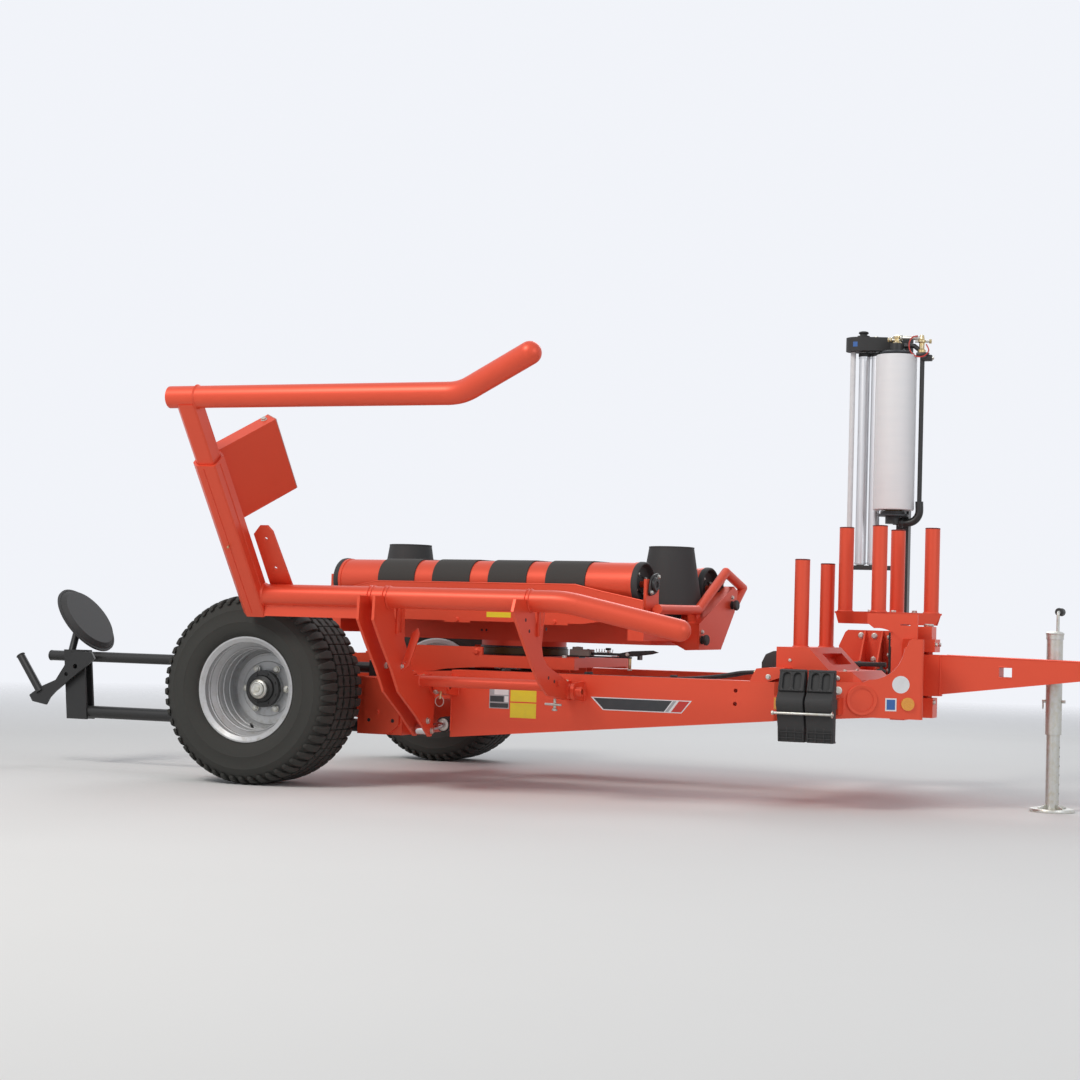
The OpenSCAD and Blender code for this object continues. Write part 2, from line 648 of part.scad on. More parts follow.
module arm_brackets() color(red) {
    difference() {
        union() {
            cross_plate(front_plate_x, plate_t) difference() {
                polygon([
                    [-1526, 801], [-1500, 852], [-1376, 852], [-1284, 852], [-1180, 852], [-1166, 807],
                    [-1195, 661], [-1174, 610], [-1107, 571], [-919, 522], [-846, 500], [-826, 463], [-840, 425],
                    [-1108, 450], [-1200, 500], [-1298, 577], [-1424, 699]
                ]);
                polygon([[-1284, 860], [-1284, 790], [-1239, 698], [-1185, 749], [-1196, 860]]);
            }
            for (x = rear_plates_x) cross_plate(x, plate_t) difference() {
                polygon([
                    [-1477, 750], [-1470, 852], [-1170, 852], [-1166, 666], [-1052, 509], [-872, 515],
                    [-826, 480], [-834, 300], [-837, 262], [-848, 238], [-872, 236], [-1021, 335], [-1204, 441],
                    [-1285, 542], [-1388, 649]
                ]);
                polygon([[-1280, 860], [-1280, 780], [-1240, 690], [-1200, 700], [-1200, 860]]);
            }
            bar_x(rear_plates_x[1], -980, 487, 24, front_plate_x - rear_plates_x[1]);
            pivot_bosses();
        }
        bar_x(600, pivot_y, pivot_z, pivot_pin_r + running, 900);
        bar_x(600, arm_y, arm_z, arm_tube_r + 0.2, 900);
    }
    span([mast_x + 60, arm_y - 6, 754], [rear_plates_x[0], arm_y + 6, arm_z - arm_tube_r]);
}

module arm_lower_tube() color(red) arm_axes() {
    bent_front_tube(mast_x + 59, 1500, 400, -15.5, 440, arm_tube_r);
}

// A box section with chamfered corners
module mast_outline(w) polygon([
    [-w / 2, -w / 4], [-w / 4, -w / 2], [w / 2 - 6, -w / 2], [w / 2, -w / 2 + 6],
    [w / 2, w / 4], [w / 4, w / 2], [-w / 4, w / 2], [-w / 2, w / 4]
]);

module mast_sleeve() color(red) arm_axes() translate([mast_x, 0, -80]) difference() {
    linear_extrude(785) mast_outline(mast_w + 22);
    translate([0, 0, 20]) linear_extrude(800) mast_outline(mast_w + 2);
}

module mast_slide() color(red) arm_axes() difference() {
    translate([mast_x, 0, 200]) linear_extrude(arm_span - 210) mast_outline(mast_w);
    translate([0, 0, arm_span]) bar_x(0, 0, 0, arm_tube_r + 0.2, 300);
}

module arm_upper_tube() color(red) arm_axes() translate([0, 0, arm_span]) bent_front_tube(12, 1271, 220, 28, 316, arm_tube_r);

module bale_stop() color(red) arm_axes() {
    translate([mast_x - 28, mast_w / 2 + 11, 365]) cube([56, 40, 330]);
    translate([mast_x - 5, mast_w / 2 + 34, 360]) rotate([0, 0, 57]) difference() {
        translate([0, -35, 0]) cube([290, 70, 350]);
        translate([-1, -29, -6]) cube([285, 58, 350]);
    }
    difference() {
        union() {
            translate([162, 46, 0]) rotate([-90, 0, 0]) linear_extrude(10) polygon([
                [0, 40], [0, -290], [40, -330], [80, -330], [96, -300], [110, 40]
            ]);
            translate([162, 46, -40]) cube([8, 60, 320]);
        }
        for (z = [110, 265]) translate([215, 30, z]) rotate([-90, 0, 0]) cylinder(r = 8, h = 40);
    }
}

module arm_cylinder_axes() translate([arm_foot_x, arm_foot[0], arm_foot[1]])
    rotate([90 - angle_of([arm_foot[0] - lever_end[0], lever_end[1] - arm_foot[1]]), 0, 0]) children();

module arm_cylinder_barrel() color(black) arm_cylinder_axes() difference() {
    union() {
        translate([0, 0, 12]) cylinder(r = arm_barrel_r, h = 388);
        translate([0, 0, 370]) cylinder(r = arm_barrel_r + 3, h = 30);
        rotate([0, 90, 0]) translate([0, 0, -arm_barrel_r]) cylinder(r = 26, h = 2 * arm_barrel_r);
    }
    rotate([0, 90, 0]) translate([0, 0, -50]) cylinder(r = cylinder_pin_r + running, h = 100);
    translate([0, 0, 40]) cylinder(r = arm_rod_r + running, h = 400);
}

module arm_cylinder_rod() color(zinc) arm_cylinder_axes() {
    len = norm(lever_end - arm_foot);
    translate([0, 0, 220]) cylinder(r = arm_rod_r, h = len - 230);
    translate([0, 0, len]) rotate([0, 90, 0]) translate([0, 0, -22]) cylinder(r = 24, h = 44);
}

module film_roll() color("white") translate([2515, film_y - 70, film_z]) difference() {
    cylinder(r = film_r, h = film_len);
    translate([0, 0, -1]) cylinder(r = roll_core_r, h = film_len + 2);
}

module stretch_roller(i) color("#c4c8cc") {
    bar_z(stretch_x[i], film_y + 6, 1087, stretch_r, 1038);
    bar_z(stretch_x[i], film_y + 6, 1064, 8, 1082);
}

placed() chassis_frame();
placed() front_frame();
placed() hinge_post();
placed() roll_shelf();
placed() roll_console();
placed() axle_stubs();
placed() wheel_chocks();
placed() reflectors();
placed() dispenser_base();
placed() dispenser_mast();
placed() dispenser_head();
placed() tipper_frame();
placed() tyre(-1);  // right_tyre
placed() rim(-1);  // right_rim
placed() tyre(1);  // left_tyre
placed() rim(1);  // left_rim
placed() drawbar_beam();
placed() hitch_eye();
placed() jack_sleeve();
placed() jack_leg();
placed() tilt_frame();
placed() slewing_bearing();
placed() film_cutter();
placed() tilt_cylinder_barrel();
placed() tilt_cylinder_rod();
placed() table_frame();
placed() table_belts();
placed() table_guards();
placed() table_end_frames();
placed() guide_cone(1);  // front_guide_cone
placed() guide_cone(-1);  // rear_guide_cone
placed() roller(-1);  // near_roller
placed() roller(1);  // far_roller
placed() arm_brackets();
placed() arm_lower_tube();
placed() mast_sleeve();
placed() bale_stop();
placed() arm_cylinder_barrel();
placed() arm_cylinder_rod();
placed() mast_slide();
placed() arm_upper_tube();
placed() film_roll();
placed() stretch_roller(1);  // stretch_roller_front
placed() stretch_roller(0);  // stretch_roller_rear
placed() tipping_disc();
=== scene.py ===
"""Looks of a round bale wrapper, built around its packed construction model."""

import math

import bmesh
import bpy
from mathutils import Matrix, Vector


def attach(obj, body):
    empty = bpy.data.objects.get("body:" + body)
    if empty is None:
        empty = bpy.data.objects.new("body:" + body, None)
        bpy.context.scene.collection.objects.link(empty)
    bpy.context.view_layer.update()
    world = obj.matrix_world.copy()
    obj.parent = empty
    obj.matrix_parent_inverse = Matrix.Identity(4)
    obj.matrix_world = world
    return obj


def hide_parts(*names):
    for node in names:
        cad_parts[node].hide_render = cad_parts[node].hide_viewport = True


bl_info = {
    "name": "Bale wrapper",
    "version": (1, 0, 0),
    "blender": (4, 5, 0),
    "location": "View3D > Sidebar > Wrapper",
    "description": "Builds the finishes and fine pieces of a round bale wrapper",
    "category": "Object",
}

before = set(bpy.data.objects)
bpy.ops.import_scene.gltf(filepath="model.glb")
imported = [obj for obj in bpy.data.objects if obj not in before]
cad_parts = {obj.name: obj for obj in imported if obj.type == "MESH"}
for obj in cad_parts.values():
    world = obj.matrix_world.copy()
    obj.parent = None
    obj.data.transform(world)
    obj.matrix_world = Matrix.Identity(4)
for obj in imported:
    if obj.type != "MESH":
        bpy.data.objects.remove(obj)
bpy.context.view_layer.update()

# The machine's own axes, in millimetres: x ahead of the wheels' axis, y from the middle, z from the ground
HITCH = Vector((3850, -210, 610))
MACHINE = Matrix.Scale(0.001, 4) @ Matrix.Translation(-HITCH)


def turn(degrees, axis):
    return Matrix.Rotation(math.radians(degrees), 4, axis)


def move(x, y, z):
    return Matrix.Translation((x, y, z))


FLIP = turn(180, "X")

# Axes of the table, the swung arm's mast, the nose plate and the wheels
TABLE = MACHINE @ move(850, 0, 0) @ turn(-8, "Z")
ARM = MACHINE @ move(0, -1330, 848) @ turn(37.3, "X")
NOSE = MACHINE @ move(2300, -750, 0) @ turn(22, "Z")
WHEELS = {
    "right": MACHINE @ move(0, -1040, 424) @ turn(-90, "X"),
    "left": MACHINE @ move(0, 1040, 424) @ turn(90, "X"),
}

# Places that several pieces share: the table's rollers from its middle, the arm's pivot, the jack and the film roll
ROLLER_Y, ROLLER_Z = 350, 945
PIVOT = (-860, 463)
JACK = (3380, -90)
ROLL = (2515, 580)


# Directions
AHEAD, BACK = (1, 0, 0), (-1, 0, 0)
FAR, NEAR = (0, 1, 0), (0, -1, 0)
UP, DOWN = (0, 0, 1), (0, 0, -1)

# Finishes named often
RED, BLACK, SILVER = "red_paint", "black_paint", "silver_paint"
ZINC, BRASS, ALLOY = "zinc_plate", "brass_fitting", "rolled_aluminium"
PLASTIC, HOSE = "black_plastic", "hose_rubber"

# Turns a plate drawn in x and y so that its outline is y and z and its thickness is along x
ALONG_X = Matrix(((0, 0, 1, 0), (1, 0, 0, 0), (0, 1, 0, 0), (0, 0, 0, 1)))

# Shapes, each a bmesh in millimetres


def round_edges(solid, width, segments=2, angle=30):
    """Rounds the edges that are sharper than an angle."""
    sharp = [e for e in solid.edges if e.is_manifold and e.calc_face_angle(0) > math.radians(angle)]
    if width > 0 and sharp:
        bmesh.ops.bevel(
            solid, geom=sharp, offset=width, offset_type="OFFSET", affect="EDGES", segments=segments,
            profile=0.5, material=-1, clamp_overlap=True,
        )
    return solid


def block(a, b, edge=1.5, segments=2):
    """A box between two corners."""
    a, b = Vector(a), Vector(b)
    solid = bmesh.new()
    bmesh.ops.create_cube(solid, size=1)
    solid.transform(Matrix.Translation((a + b) / 2) @ Matrix.Diagonal((*(b - a), 1)))
    return round_edges(solid, edge, segments)


def drum(radius, length, sides=48, edge=0.0):
    """A round bar along z from the origin."""
    solid = bmesh.new()
    bmesh.ops.create_cone(solid, cap_ends=True, segments=sides, radius1=radius, radius2=radius, depth=length)
    solid.transform(move(0, 0, length / 2))
    return round_edges(solid, edge, 2, 50)


def turned(profile, steps, closed=False):
    """A profile of radius and height, spun about z."""
    solid = bmesh.new()
    verts = [solid.verts.new((r, 0, z)) for r, z in profile]
    pairs = list(zip(verts, verts[1:])) + ([(verts[-1], verts[0])] if closed else [])
    edges = [solid.edges.new(p) for p in pairs]
    bmesh.ops.spin(
        solid, geom=verts + edges, cent=(0, 0, 0), axis=(0, 0, 1), angle=math.tau, steps=steps, use_merge=True
    )
    bmesh.ops.remove_doubles(solid, verts=solid.verts, dist=0.01)
    bmesh.ops.recalc_face_normals(solid, faces=solid.faces)
    return solid


def oval(x, y, radius, half=0.0, sides=24):
    """Points of a slot with round ends along y, or of a circle."""
    points = []
    for i in range(sides):
        angle = math.tau * (i + 0.5) / sides
        across, along = radius * math.cos(angle), radius * math.sin(angle)
        points.append((x + across, y + along + math.copysign(half, along)))
    return points


def plate(outline, thickness, holes=(), edge=0.8):
    """A flat plate in x and y, with holes given as (x, y, radius) or (x, y, radius, half of the slot's length)."""
    solid = bmesh.new()
    edges = []
    for loop in (outline, *(oval(*hole) for hole in holes)):
        verts = [solid.verts.new((x, y, 0)) for x, y in loop]
        edges += [solid.edges.new((verts[i - 1], v)) for i, v in enumerate(verts)]
    bmesh.ops.triangle_fill(solid, use_beauty=True, edges=edges)
    made = bmesh.ops.extrude_face_region(solid, geom=list(solid.faces))
    bmesh.ops.translate(
        solid, vec=(0, 0, thickness), verts=[v for v in made["geom"] if isinstance(v, bmesh.types.BMVert)]
    )
    bmesh.ops.recalc_face_normals(solid, faces=solid.faces)
    return round_edges(solid, edge, 2)


def pipe(points, radius, sides=12):
    """A round tube along a list of points."""
    points = [Vector(p) for p in points]
    solid = bmesh.new()
    bmesh.ops.create_circle(solid, cap_ends=True, segments=sides, radius=radius)
    ways = [(b - a).normalized() for a, b in zip(points, points[1:])]
    ways = [ways[0]] + [(a + b).normalized() for a, b in zip(ways, ways[1:])] + [ways[-1]]
    turned_to = Vector((0, 0, 1)).rotation_difference(ways[0]).to_matrix().to_4x4()
    seat = Matrix.Translation(points[0]) @ turned_to
    solid.transform(seat)
    solid.faces.ensure_lookup_table()
    face = solid.faces[0]
    for before, way, point in zip(ways, ways[1:], points[1:]):
        made = bmesh.ops.extrude_face_region(solid, geom=[face])
        face = next(f for f in made["geom"] if isinstance(f, bmesh.types.BMFace))
        turned_to = before.rotation_difference(way).to_matrix().to_4x4() @ turned_to
        seat, last = Matrix.Translation(point) @ turned_to, seat
        bmesh.ops.transform(solid, matrix=seat @ last.inverted(), verts=face.verts)
    bmesh.ops.recalc_face_normals(solid, faces=solid.faces)
    return solid


def curve_through(points, steps=8):
    """More points on a smooth line through a few."""
    points = [Vector(p) for p in points]
    ends = [2 * points[0] - points[1], *points, 2 * points[-1] - points[-2]]
    line = []
    for a, b, c, d in zip(ends, ends[1:], ends[2:], ends[3:]):
        for i in range(steps):
            t = i / steps
            line.append(
                0.5 * (2 * b + (c - a) * t + (2 * a - 5 * b + 4 * c - d) * t * t + (3 * b - a - 3 * c + d) * t ** 3)
            )
    return line + [points[-1]]


def facing(axis):
    """A turn that brings z onto a direction."""
    if tuple(axis) == DOWN:
        return FLIP
    return Vector((0, 0, 1)).rotation_difference(Vector(axis)).to_matrix().to_4x4()


def on(point, axis):
    """A place whose z stands out from a point along a direction."""
    return Matrix.Translation(point) @ facing(axis)


def loop_of(count, middle, across, height):
    """Points of an upright ring; across is its half width along x and y."""
    x, y, z = middle
    points = []
    for i in range(count + 1):
        t = math.tau * i / count
        points.append((x + across[0] * math.cos(t), y + across[1] * math.cos(t), z + height * math.sin(t)))
    return points


class Piece:
    """A piece made of several shapes, on one set of the machine's axes."""

    def __init__(self, name, axes=MACHINE, finish=ZINC):
        self.name = name
        self.axes = axes
        self.finish = finish
        self.mesh = bmesh.new()
        self.finishes = []

    def add(self, shape, finish=None, place=Matrix(), smooth=True):
        """Joins a shape on, in the piece's own finish unless one is named."""
        finish = finish or self.finish
        if finish not in self.finishes:
            self.finishes.append(finish)
        shape.transform(self.axes @ place)
        for face in shape.faces:
            face.material_index = self.finishes.index(finish)
            face.smooth = smooth
        part = bpy.data.meshes.new("part")
        shape.to_mesh(part)
        shape.free()
        self.mesh.from_mesh(part)
        bpy.data.meshes.remove(part)

    def ring(self, profile, steps=48, finish=None, place=Matrix()):
        """A ring turned from a closed profile."""
        self.add(turned(profile, steps, closed=True), finish, place)

    def knob(self, profile, steps=40, finish=None, place=Matrix()):
        """A solid turned from a profile that begins and ends on the axis."""
        self.add(turned(profile, steps), finish, place)

    def box(self, a, b, edge=1.5, finish=None, place=Matrix()):
        self.add(block(a, b, edge), finish, place)

    def rod(self, point, axis, radius, length, sides=24, edge=1.0, finish=None):
        """A round or, with 6 sides, hexagonal bar that stands out from a point."""
        self.add(drum(radius, length, sides, edge), finish, on(point, axis))

    def hose(self, points, radius, sides=12, finish=HOSE, steps=8):
        self.add(pipe(curve_through(points, steps), radius, sides), finish)

    def weld(self, start, end, radius):
        """A weld bead, with the ripples that it sets in."""
        start, end = Vector(start), Vector(end)
        count = max(4, round((end - start).length / (radius * 1.5)))
        bead = pipe([start.lerp(end, i / count) for i in range(count + 1)], radius, 8)
        way = (end - start).normalized()
        for v in bead.verts:
            ahead = way * (v.co - start).dot(way)
            ripple = 1.0 + 0.16 * math.cos(math.pi * ahead.length / radius / 1.5)
            v.co = start + ahead + (v.co - start - ahead) * ripple
        self.add(bead, RED)

    def bolt(self, place, size, finish=ZINC, washer=True, nut=False):
        """A hexagon head on a washer, standing on z = 0 of its place."""
        low = 0
        if washer:
            self.add(drum(size * 1.15, size * 0.16, 32, size * 0.04), finish, place)
            low = size * 0.16
        head = drum(size * 0.97, size * 0.66, 6)
        self.add(round_edges(head, size * 0.07, 2, 20), finish, place @ move(0, 0, low) @ turn(17, "Z"))
        self.add(drum(size * 0.78, size * 0.05, 24), finish, place @ move(0, 0, low + size * 0.65))
        if nut:
            self.add(drum(size * 0.5, size * 0.35, 20, size * 0.06), finish, place @ move(0, 0, low + size * 0.6))

    def bolts(self, points, axis, size, finish=ZINC, **look):
        for point in points:
            self.bolt(on(point, axis), size, finish, **look)

    def bolt_circle(self, place, count, start, seat, size, finish=ZINC, **look):
        """Bolts on a seat that is turned about the z of a place."""
        for i in range(count):
            self.bolt(place @ turn(360 / count * i + start, "Z") @ seat, size, finish, **look)

    def done(self, body, replaces=()):
        """Makes the object and lets it ride on its body."""
        mesh = bpy.data.meshes.new(self.name)
        self.mesh.to_mesh(mesh)
        self.mesh.free()
        mesh.set_sharp_from_angle(angle=math.radians(35))
        for finish in self.finishes:
            mesh.materials.append(finish_of(finish))
        piece = bpy.data.objects.new(self.name, mesh)
        bpy.context.scene.collection.objects.link(piece)
        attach(piece, body)
        if replaces:
            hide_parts(*replaces)


# Finishes


class Nodes:
    """A tree of shader nodes."""

    def __init__(self, tree):
        self.tree = tree

    def feed(self, socket, value):
        """Links a socket to another node's output, or sets it."""
        if isinstance(value, bpy.types.NodeSocket):
            self.tree.links.new(value, socket)
        else:
            socket.default_value = value

    def node(self, kind, output, inputs, **options):
        """The output of a new node, whose inputs are given by name or number."""
        made = self.tree.nodes.new("ShaderNode" + kind)
        for key, value in options.items():
            setattr(made, key, value)
        for key, value in inputs.items():
            self.feed(made.inputs[key], value)
        return made.outputs[output]


class Finish(Nodes):
    """A material built up in layers over its own colour."""

    def __init__(self, name, colour, roughness, metallic=0.0):
        self.material = bpy.data.materials.new(name)
        self.material.use_nodes = True
        super().__init__(self.material.node_tree)
        self.shader = self.tree.nodes["Principled BSDF"]
        self.set({"Base Color": (*colour, 1), "Roughness": roughness, "Metallic": metallic})
        self.place = self.node("TexCoord", "Object", {})

    def set(self, values):
        for key, value in values.items():
            self.feed(self.shader.inputs[key], value)

    def noise(self, scale, detail=3.0, stretch=None, roughness=0.55):
        place = self.node("Mapping", "Vector", {"Vector": self.place, "Scale": stretch}) if stretch else self.place
        return self.node(
            "TexNoise", "Fac", {"Vector": place, "Scale": scale, "Detail": detail, "Roughness": roughness}
        )

    def between(self, value, low, high, start=0.0, end=1.0):
        inputs = {"Value": value, "From Min": low, "From Max": high, "To Min": start, "To Max": end}
        return self.node("MapRange", "Result", inputs)

    def math(self, operation, a, b):
        return self.node("Math", "Value", {0: a, 1: b}, operation=operation, use_clamp=True)

    def colour_over(self, factor, colour):
        """Lays a colour over what the surface has."""
        base = self.shader.inputs["Base Color"]
        under = base.links[0].from_socket if base.is_linked else tuple(base.default_value)
        over = {"Factor": factor, 6: under, 7: (*colour, 1)}
        self.feed(base, self.node("Mix", 2, over, data_type="RGBA"))

    def roughness_over(self, factor, low, high):
        self.set({"Roughness": self.between(factor, 0.0, 1.0, low, high)})

    def bevel(self, radius):
        """The surface's normal with its edges rounded."""
        return self.node("Bevel", "Normal", {"Radius": radius}, samples=4)

    def bump(self, height, distance, strength, rounded=0.0):
        inputs = {"Height": height, "Distance": distance, "Strength": strength}
        if rounded:
            inputs["Normal"] = self.bevel(rounded)
        self.set({"Normal": self.node("Bump", "Normal", inputs)})

    def edges(self, radius):
        """How near a surface is to a sharp edge."""
        flat = self.node("NewGeometry", "Normal", {})
        dot = self.node("VectorMath", "Value", {0: self.bevel(radius), 1: flat}, operation="DOT_PRODUCT")
        return self.between(dot, 0.995, 0.8)

    def dust_and_sky_reflection(self, colour, amount):
        """A colour laid in patches on what faces up: dust on the plastic and on the black, cast and greased finishes,
        and a painted reflection of the sky where it is the paints' default pale pink.
        """
        normal = self.node("TexCoord", "Normal", {})
        up = self.between(self.node("SeparateXYZ", "Z", {0: normal}), 0.25, 0.95)
        patches = self.between(self.noise(9.0, 5.0), 0.42, 0.7, 0.25, 1.0)
        self.colour_over(self.math("MULTIPLY", self.math("MULTIPLY", up, patches), amount), colour)

    def splashes(self, colour, amount, top, bottom):
        """Dirt that thins out from the bottom upwards."""
        depth = self.between(self.node("SeparateXYZ", "Z", {0: self.place}), top, bottom)
        spots = self.between(self.noise(38.0, 6.0, roughness=0.7), 0.5, 0.66)
        self.colour_over(self.math("MULTIPLY", self.math("MULTIPLY", depth, spots), amount), colour)


# The default top colour, a pale pink, is a painted reflection of the sky
def painted(name, colour=None, roughness=0.36, dust_and_reflection_colour=(0.7, 0.3, 0.24), dust_and_sky_reflection=0.16):
    """Gloss paint on welded steel, lighter on top and worn at its edges; the default pale pink on top is a painted
    reflection of the sky, the other paints' top colours are dust; the user's colour if none is given.
    """
    colour = colour or tuple(bpy.context.scene.wrapper_colours.paint)
    made = Finish(name, colour, roughness)
    made.colour_over(made.between(made.noise(1.7, 4.0), 0.35, 0.7, 0.0, 0.35), [c * 0.86 for c in colour])
    # On what faces up: the default pale pink is a painted reflection of the sky, the other colours are dust
    made.dust_and_sky_reflection(dust_and_reflection_colour, dust_and_sky_reflection)
    made.splashes((0.2, 0.16, 0.09), 0.3, -0.1, -0.45)
    chips = made.between(made.noise(55.0, 4.0), 0.52, 0.64)
    made.colour_over(made.math("MULTIPLY", made.edges(0.003), chips), [c * 0.45 + 0.04 for c in colour])
    made.roughness_over(made.noise(6.0, 4.0), roughness - 0.1, roughness + 0.16)
    made.bump(made.noise(260.0, 2.0), 0.0006, 0.25, 0.0022)
    made.set({"Specular IOR Level": 0.22, "Coat Weight": 0.06, "Coat Roughness": 0.15})


def layered(name, colour, roughness, metallic, stains, sheen=None, grain=None, dust_and_sky_reflection=None, splashes=None):
    """A material with stains, dirt, an uneven sheen and a fine grain.

    Each stain is (noise scale, detail, low, high, start, end, colour, stretch), the sheen (scale, detail, low, high,
    stretch) and the grain (scale, detail, depth, strength, rounded edge, stretch); a stretch may be left off.
    """
    made = Finish(name, colour, roughness, metallic)
    for scale, detail, low, high, start, end, stain, *stretch in stains:
        made.colour_over(made.between(made.noise(scale, detail, *stretch), low, high, start, end), stain)
    if dust_and_sky_reflection:
        made.dust_and_sky_reflection(*dust_and_sky_reflection)
    if splashes:
        made.splashes(*splashes)
    if sheen:
        scale, detail, low, high, *stretch = sheen
        made.roughness_over(made.noise(scale, detail, *stretch), low, high)
    if grain:
        scale, detail, depth, strength, rounded, *stretch = grain
        made.bump(made.noise(scale, detail, *stretch), depth, strength, rounded)
    return made


def printed(name, colour, roughness=0.35):
    """A printed film stuck on the paint, a little scuffed."""
    worn = [c * 0.75 + 0.03 for c in colour]
    sheen = (30, 4, roughness - 0.08, roughness + 0.15)
    layered(name, colour, roughness, 0.0, [(28, 5, 0.45, 0.75, 0, 0.35, worn)], sheen, (120, 2, 0.0003, 0.3, 0))


def woven(name, *layers):
    """Rubber over a woven ply that shows through."""
    made = layered(name, *layers)
    waves = made.node("TexWave", "Fac", {"Vector": made.place, "Scale": 190.0}, bands_direction="X")
    plies = [made.math("MULTIPLY", height, 0.5) for height in (waves, made.noise(260.0, 2.0))]
    made.bump(made.math("ADD", *plies), 0.0008, 0.45)


def filmy(name, *layers):
    """Film that lets a little light in."""
    made = layered(name, *layers)
    made.set({"Subsurface Weight": 0.2, "Subsurface Radius": (0.01, 0.01, 0.01)})


def lens(name, colour, roughness):
    """A reflector's moulded cells."""
    made = Finish(name, colour, roughness)
    inputs = {"Vector": made.place, "Scale": 260.0}
    cells = made.node("TexVoronoi", "Distance", inputs, feature="DISTANCE_TO_EDGE")
    made.colour_over(made.between(cells, 0.0, 0.25, 0.7, 0.0), (0.95, 0.5, 0.06))
    made.bump(cells, 0.0012, 0.6)
    made.set({"Coat Weight": 0.6})


# What makes each finish, and from what
FINISHES = {
    # The red paint keeps the default pale pink on top, a painted reflection of the sky
    RED: (painted,),
    BLACK: (painted, (0.018, 0.019, 0.021), 0.42, (0.2, 0.19, 0.17), 0.35),
    # A pale pink painted highlight, for the stop panel's outer edge
    "pale_edge": (painted, (0.62, 0.3, 0.26), 0.45),
    "dark_cap": (painted, (0.16, 0.012, 0.01), 0.5),
    "cast_metal": (painted, (0.36, 0.39, 0.35), 0.45, (0.3, 0.28, 0.22), 0.4),
    "greased_steel": (painted, (0.1, 0.085, 0.03), 0.3, (0.3, 0.26, 0.08), 0.7),
    SILVER: (
        layered, (0.52, 0.53, 0.54), 0.42, 0.35, [(3, 5, 0.4, 0.75, 0, 0.4, (0.4, 0.4, 0.4))],
        (14, 4, 0.34, 0.52), (180, 3, 0.0008, 0.3, 0.002), None, ((0.22, 0.19, 0.13), 0.45, 0.2, -0.5),
    ),
    ZINC: (
        layered, (0.6, 0.6, 0.57), 0.34, 0.9, [(60, 4, 0.42, 0.68, 0, 0.5, (0.5, 0.46, 0.33))],
        (90, 4, 0.26, 0.5), (300, 3, 0.0004, 0.3, 0.0012),
    ),
    "chromed_rod": (layered, (0.78, 0.79, 0.8), 0.1, 1.0, [], (30, 3, 0.07, 0.18, (1, 1, 12))),
    BRASS: (
        layered, (0.6, 0.46, 0.22), 0.3, 0.9, [(70, 3, 0.45, 0.65, 0, 0.6, (0.5, 0.5, 0.46))],
        None, (200, 3, 0.0004, 0.4, 0.001),
    ),
    ALLOY: (
        layered, (0.72, 0.73, 0.75), 0.36, 0.75,
        [(40, 4, 0.42, 0.66, 0, 0.4, (0.58, 0.59, 0.61), (1, 1, 0.08))],
        None, (220, 3, 0.0006, 0.5, 0, (1, 1, 0.1)),
    ),
    "tyre_rubber": (
        layered, (0.034, 0.033, 0.024), 0.72, 0.0,
        [
            (5, 5, 0.38, 0.66, 0.15, 0.75, (0.085, 0.082, 0.058)),
            (70, 5, 0.55, 0.72, 0, 0.5, (0.15, 0.14, 0.115)),
        ],
        (20, 4, 0.6, 0.86), (150, 4, 0.0012, 0.5, 0), None, ((0.19, 0.17, 0.11), 0.5, -0.35, -0.6),
    ),
    "belt_rubber": (
        woven, (0.03, 0.033, 0.031), 0.6, 0.0,
        [
            (7, 6, 0.36, 0.66, 0, 0.8, (0.075, 0.083, 0.07)),
            (34, 6, 0.54, 0.7, 0, 0.55, (0.15, 0.17, 0.11), (0.35, 1, 1)),
        ],
        (24, 4, 0.48, 0.75),
    ),
    PLASTIC: (
        layered, (0.02, 0.02, 0.022), 0.5, 0.0, [(11, 5, 0.4, 0.7, 0, 0.6, (0.05, 0.05, 0.052))],
        (30, 4, 0.38, 0.62), (420, 2, 0.0005, 0.4, 0.0015), ((0.22, 0.2, 0.16), 0.3),
    ),
    HOSE: (
        layered, (0.015, 0.015, 0.016), 0.55, 0.0, [(30, 4, 0.45, 0.7, 0, 0.6, (0.06, 0.058, 0.05))],
        None, (300, 2, 0.0005, 0.4, 0),
    ),
    "stretch_film": (
        filmy, (0.9, 0.9, 0.91), 0.45, 0.0, [(14, 5, 0.42, 0.7, 0, 0.4, (0.85, 0.86, 0.88), (0.3, 0.3, 3))],
        (12, 4, 0.4, 0.55, (1, 1, 6)), (60, 3, 0.0004, 0.2, 0, (0.2, 0.2, 5)),
    ),
    "core_cardboard": (
        layered, (0.36, 0.24, 0.13), 0.85, 0.0, [(40, 4, 0.4, 0.7, 0, 0.6, (0.27, 0.17, 0.09))],
        None, (300, 3, 0.0006, 0.5, 0),
    ),
    "amber_lens": (lens, (0.75, 0.25, 0.01), 0.18),
    "yellow_print": (printed, (0.86, 0.7, 0.03)),
    "white_print": (printed, (0.82, 0.83, 0.84)),
    "blue_print": (printed, (0.04, 0.14, 0.42)),
    "dark_print": (printed, (0.035, 0.04, 0.045)),
    "grey_print": (printed, (0.42, 0.44, 0.46)),
    "red_cable": (printed, (0.6, 0.04, 0.03), 0.4),
}


def finish_of(name):
    """A finish, made once."""
    if name not in bpy.data.materials:
        make, *values = FINISHES[name]
        make(name, *values)
    return bpy.data.materials[name]


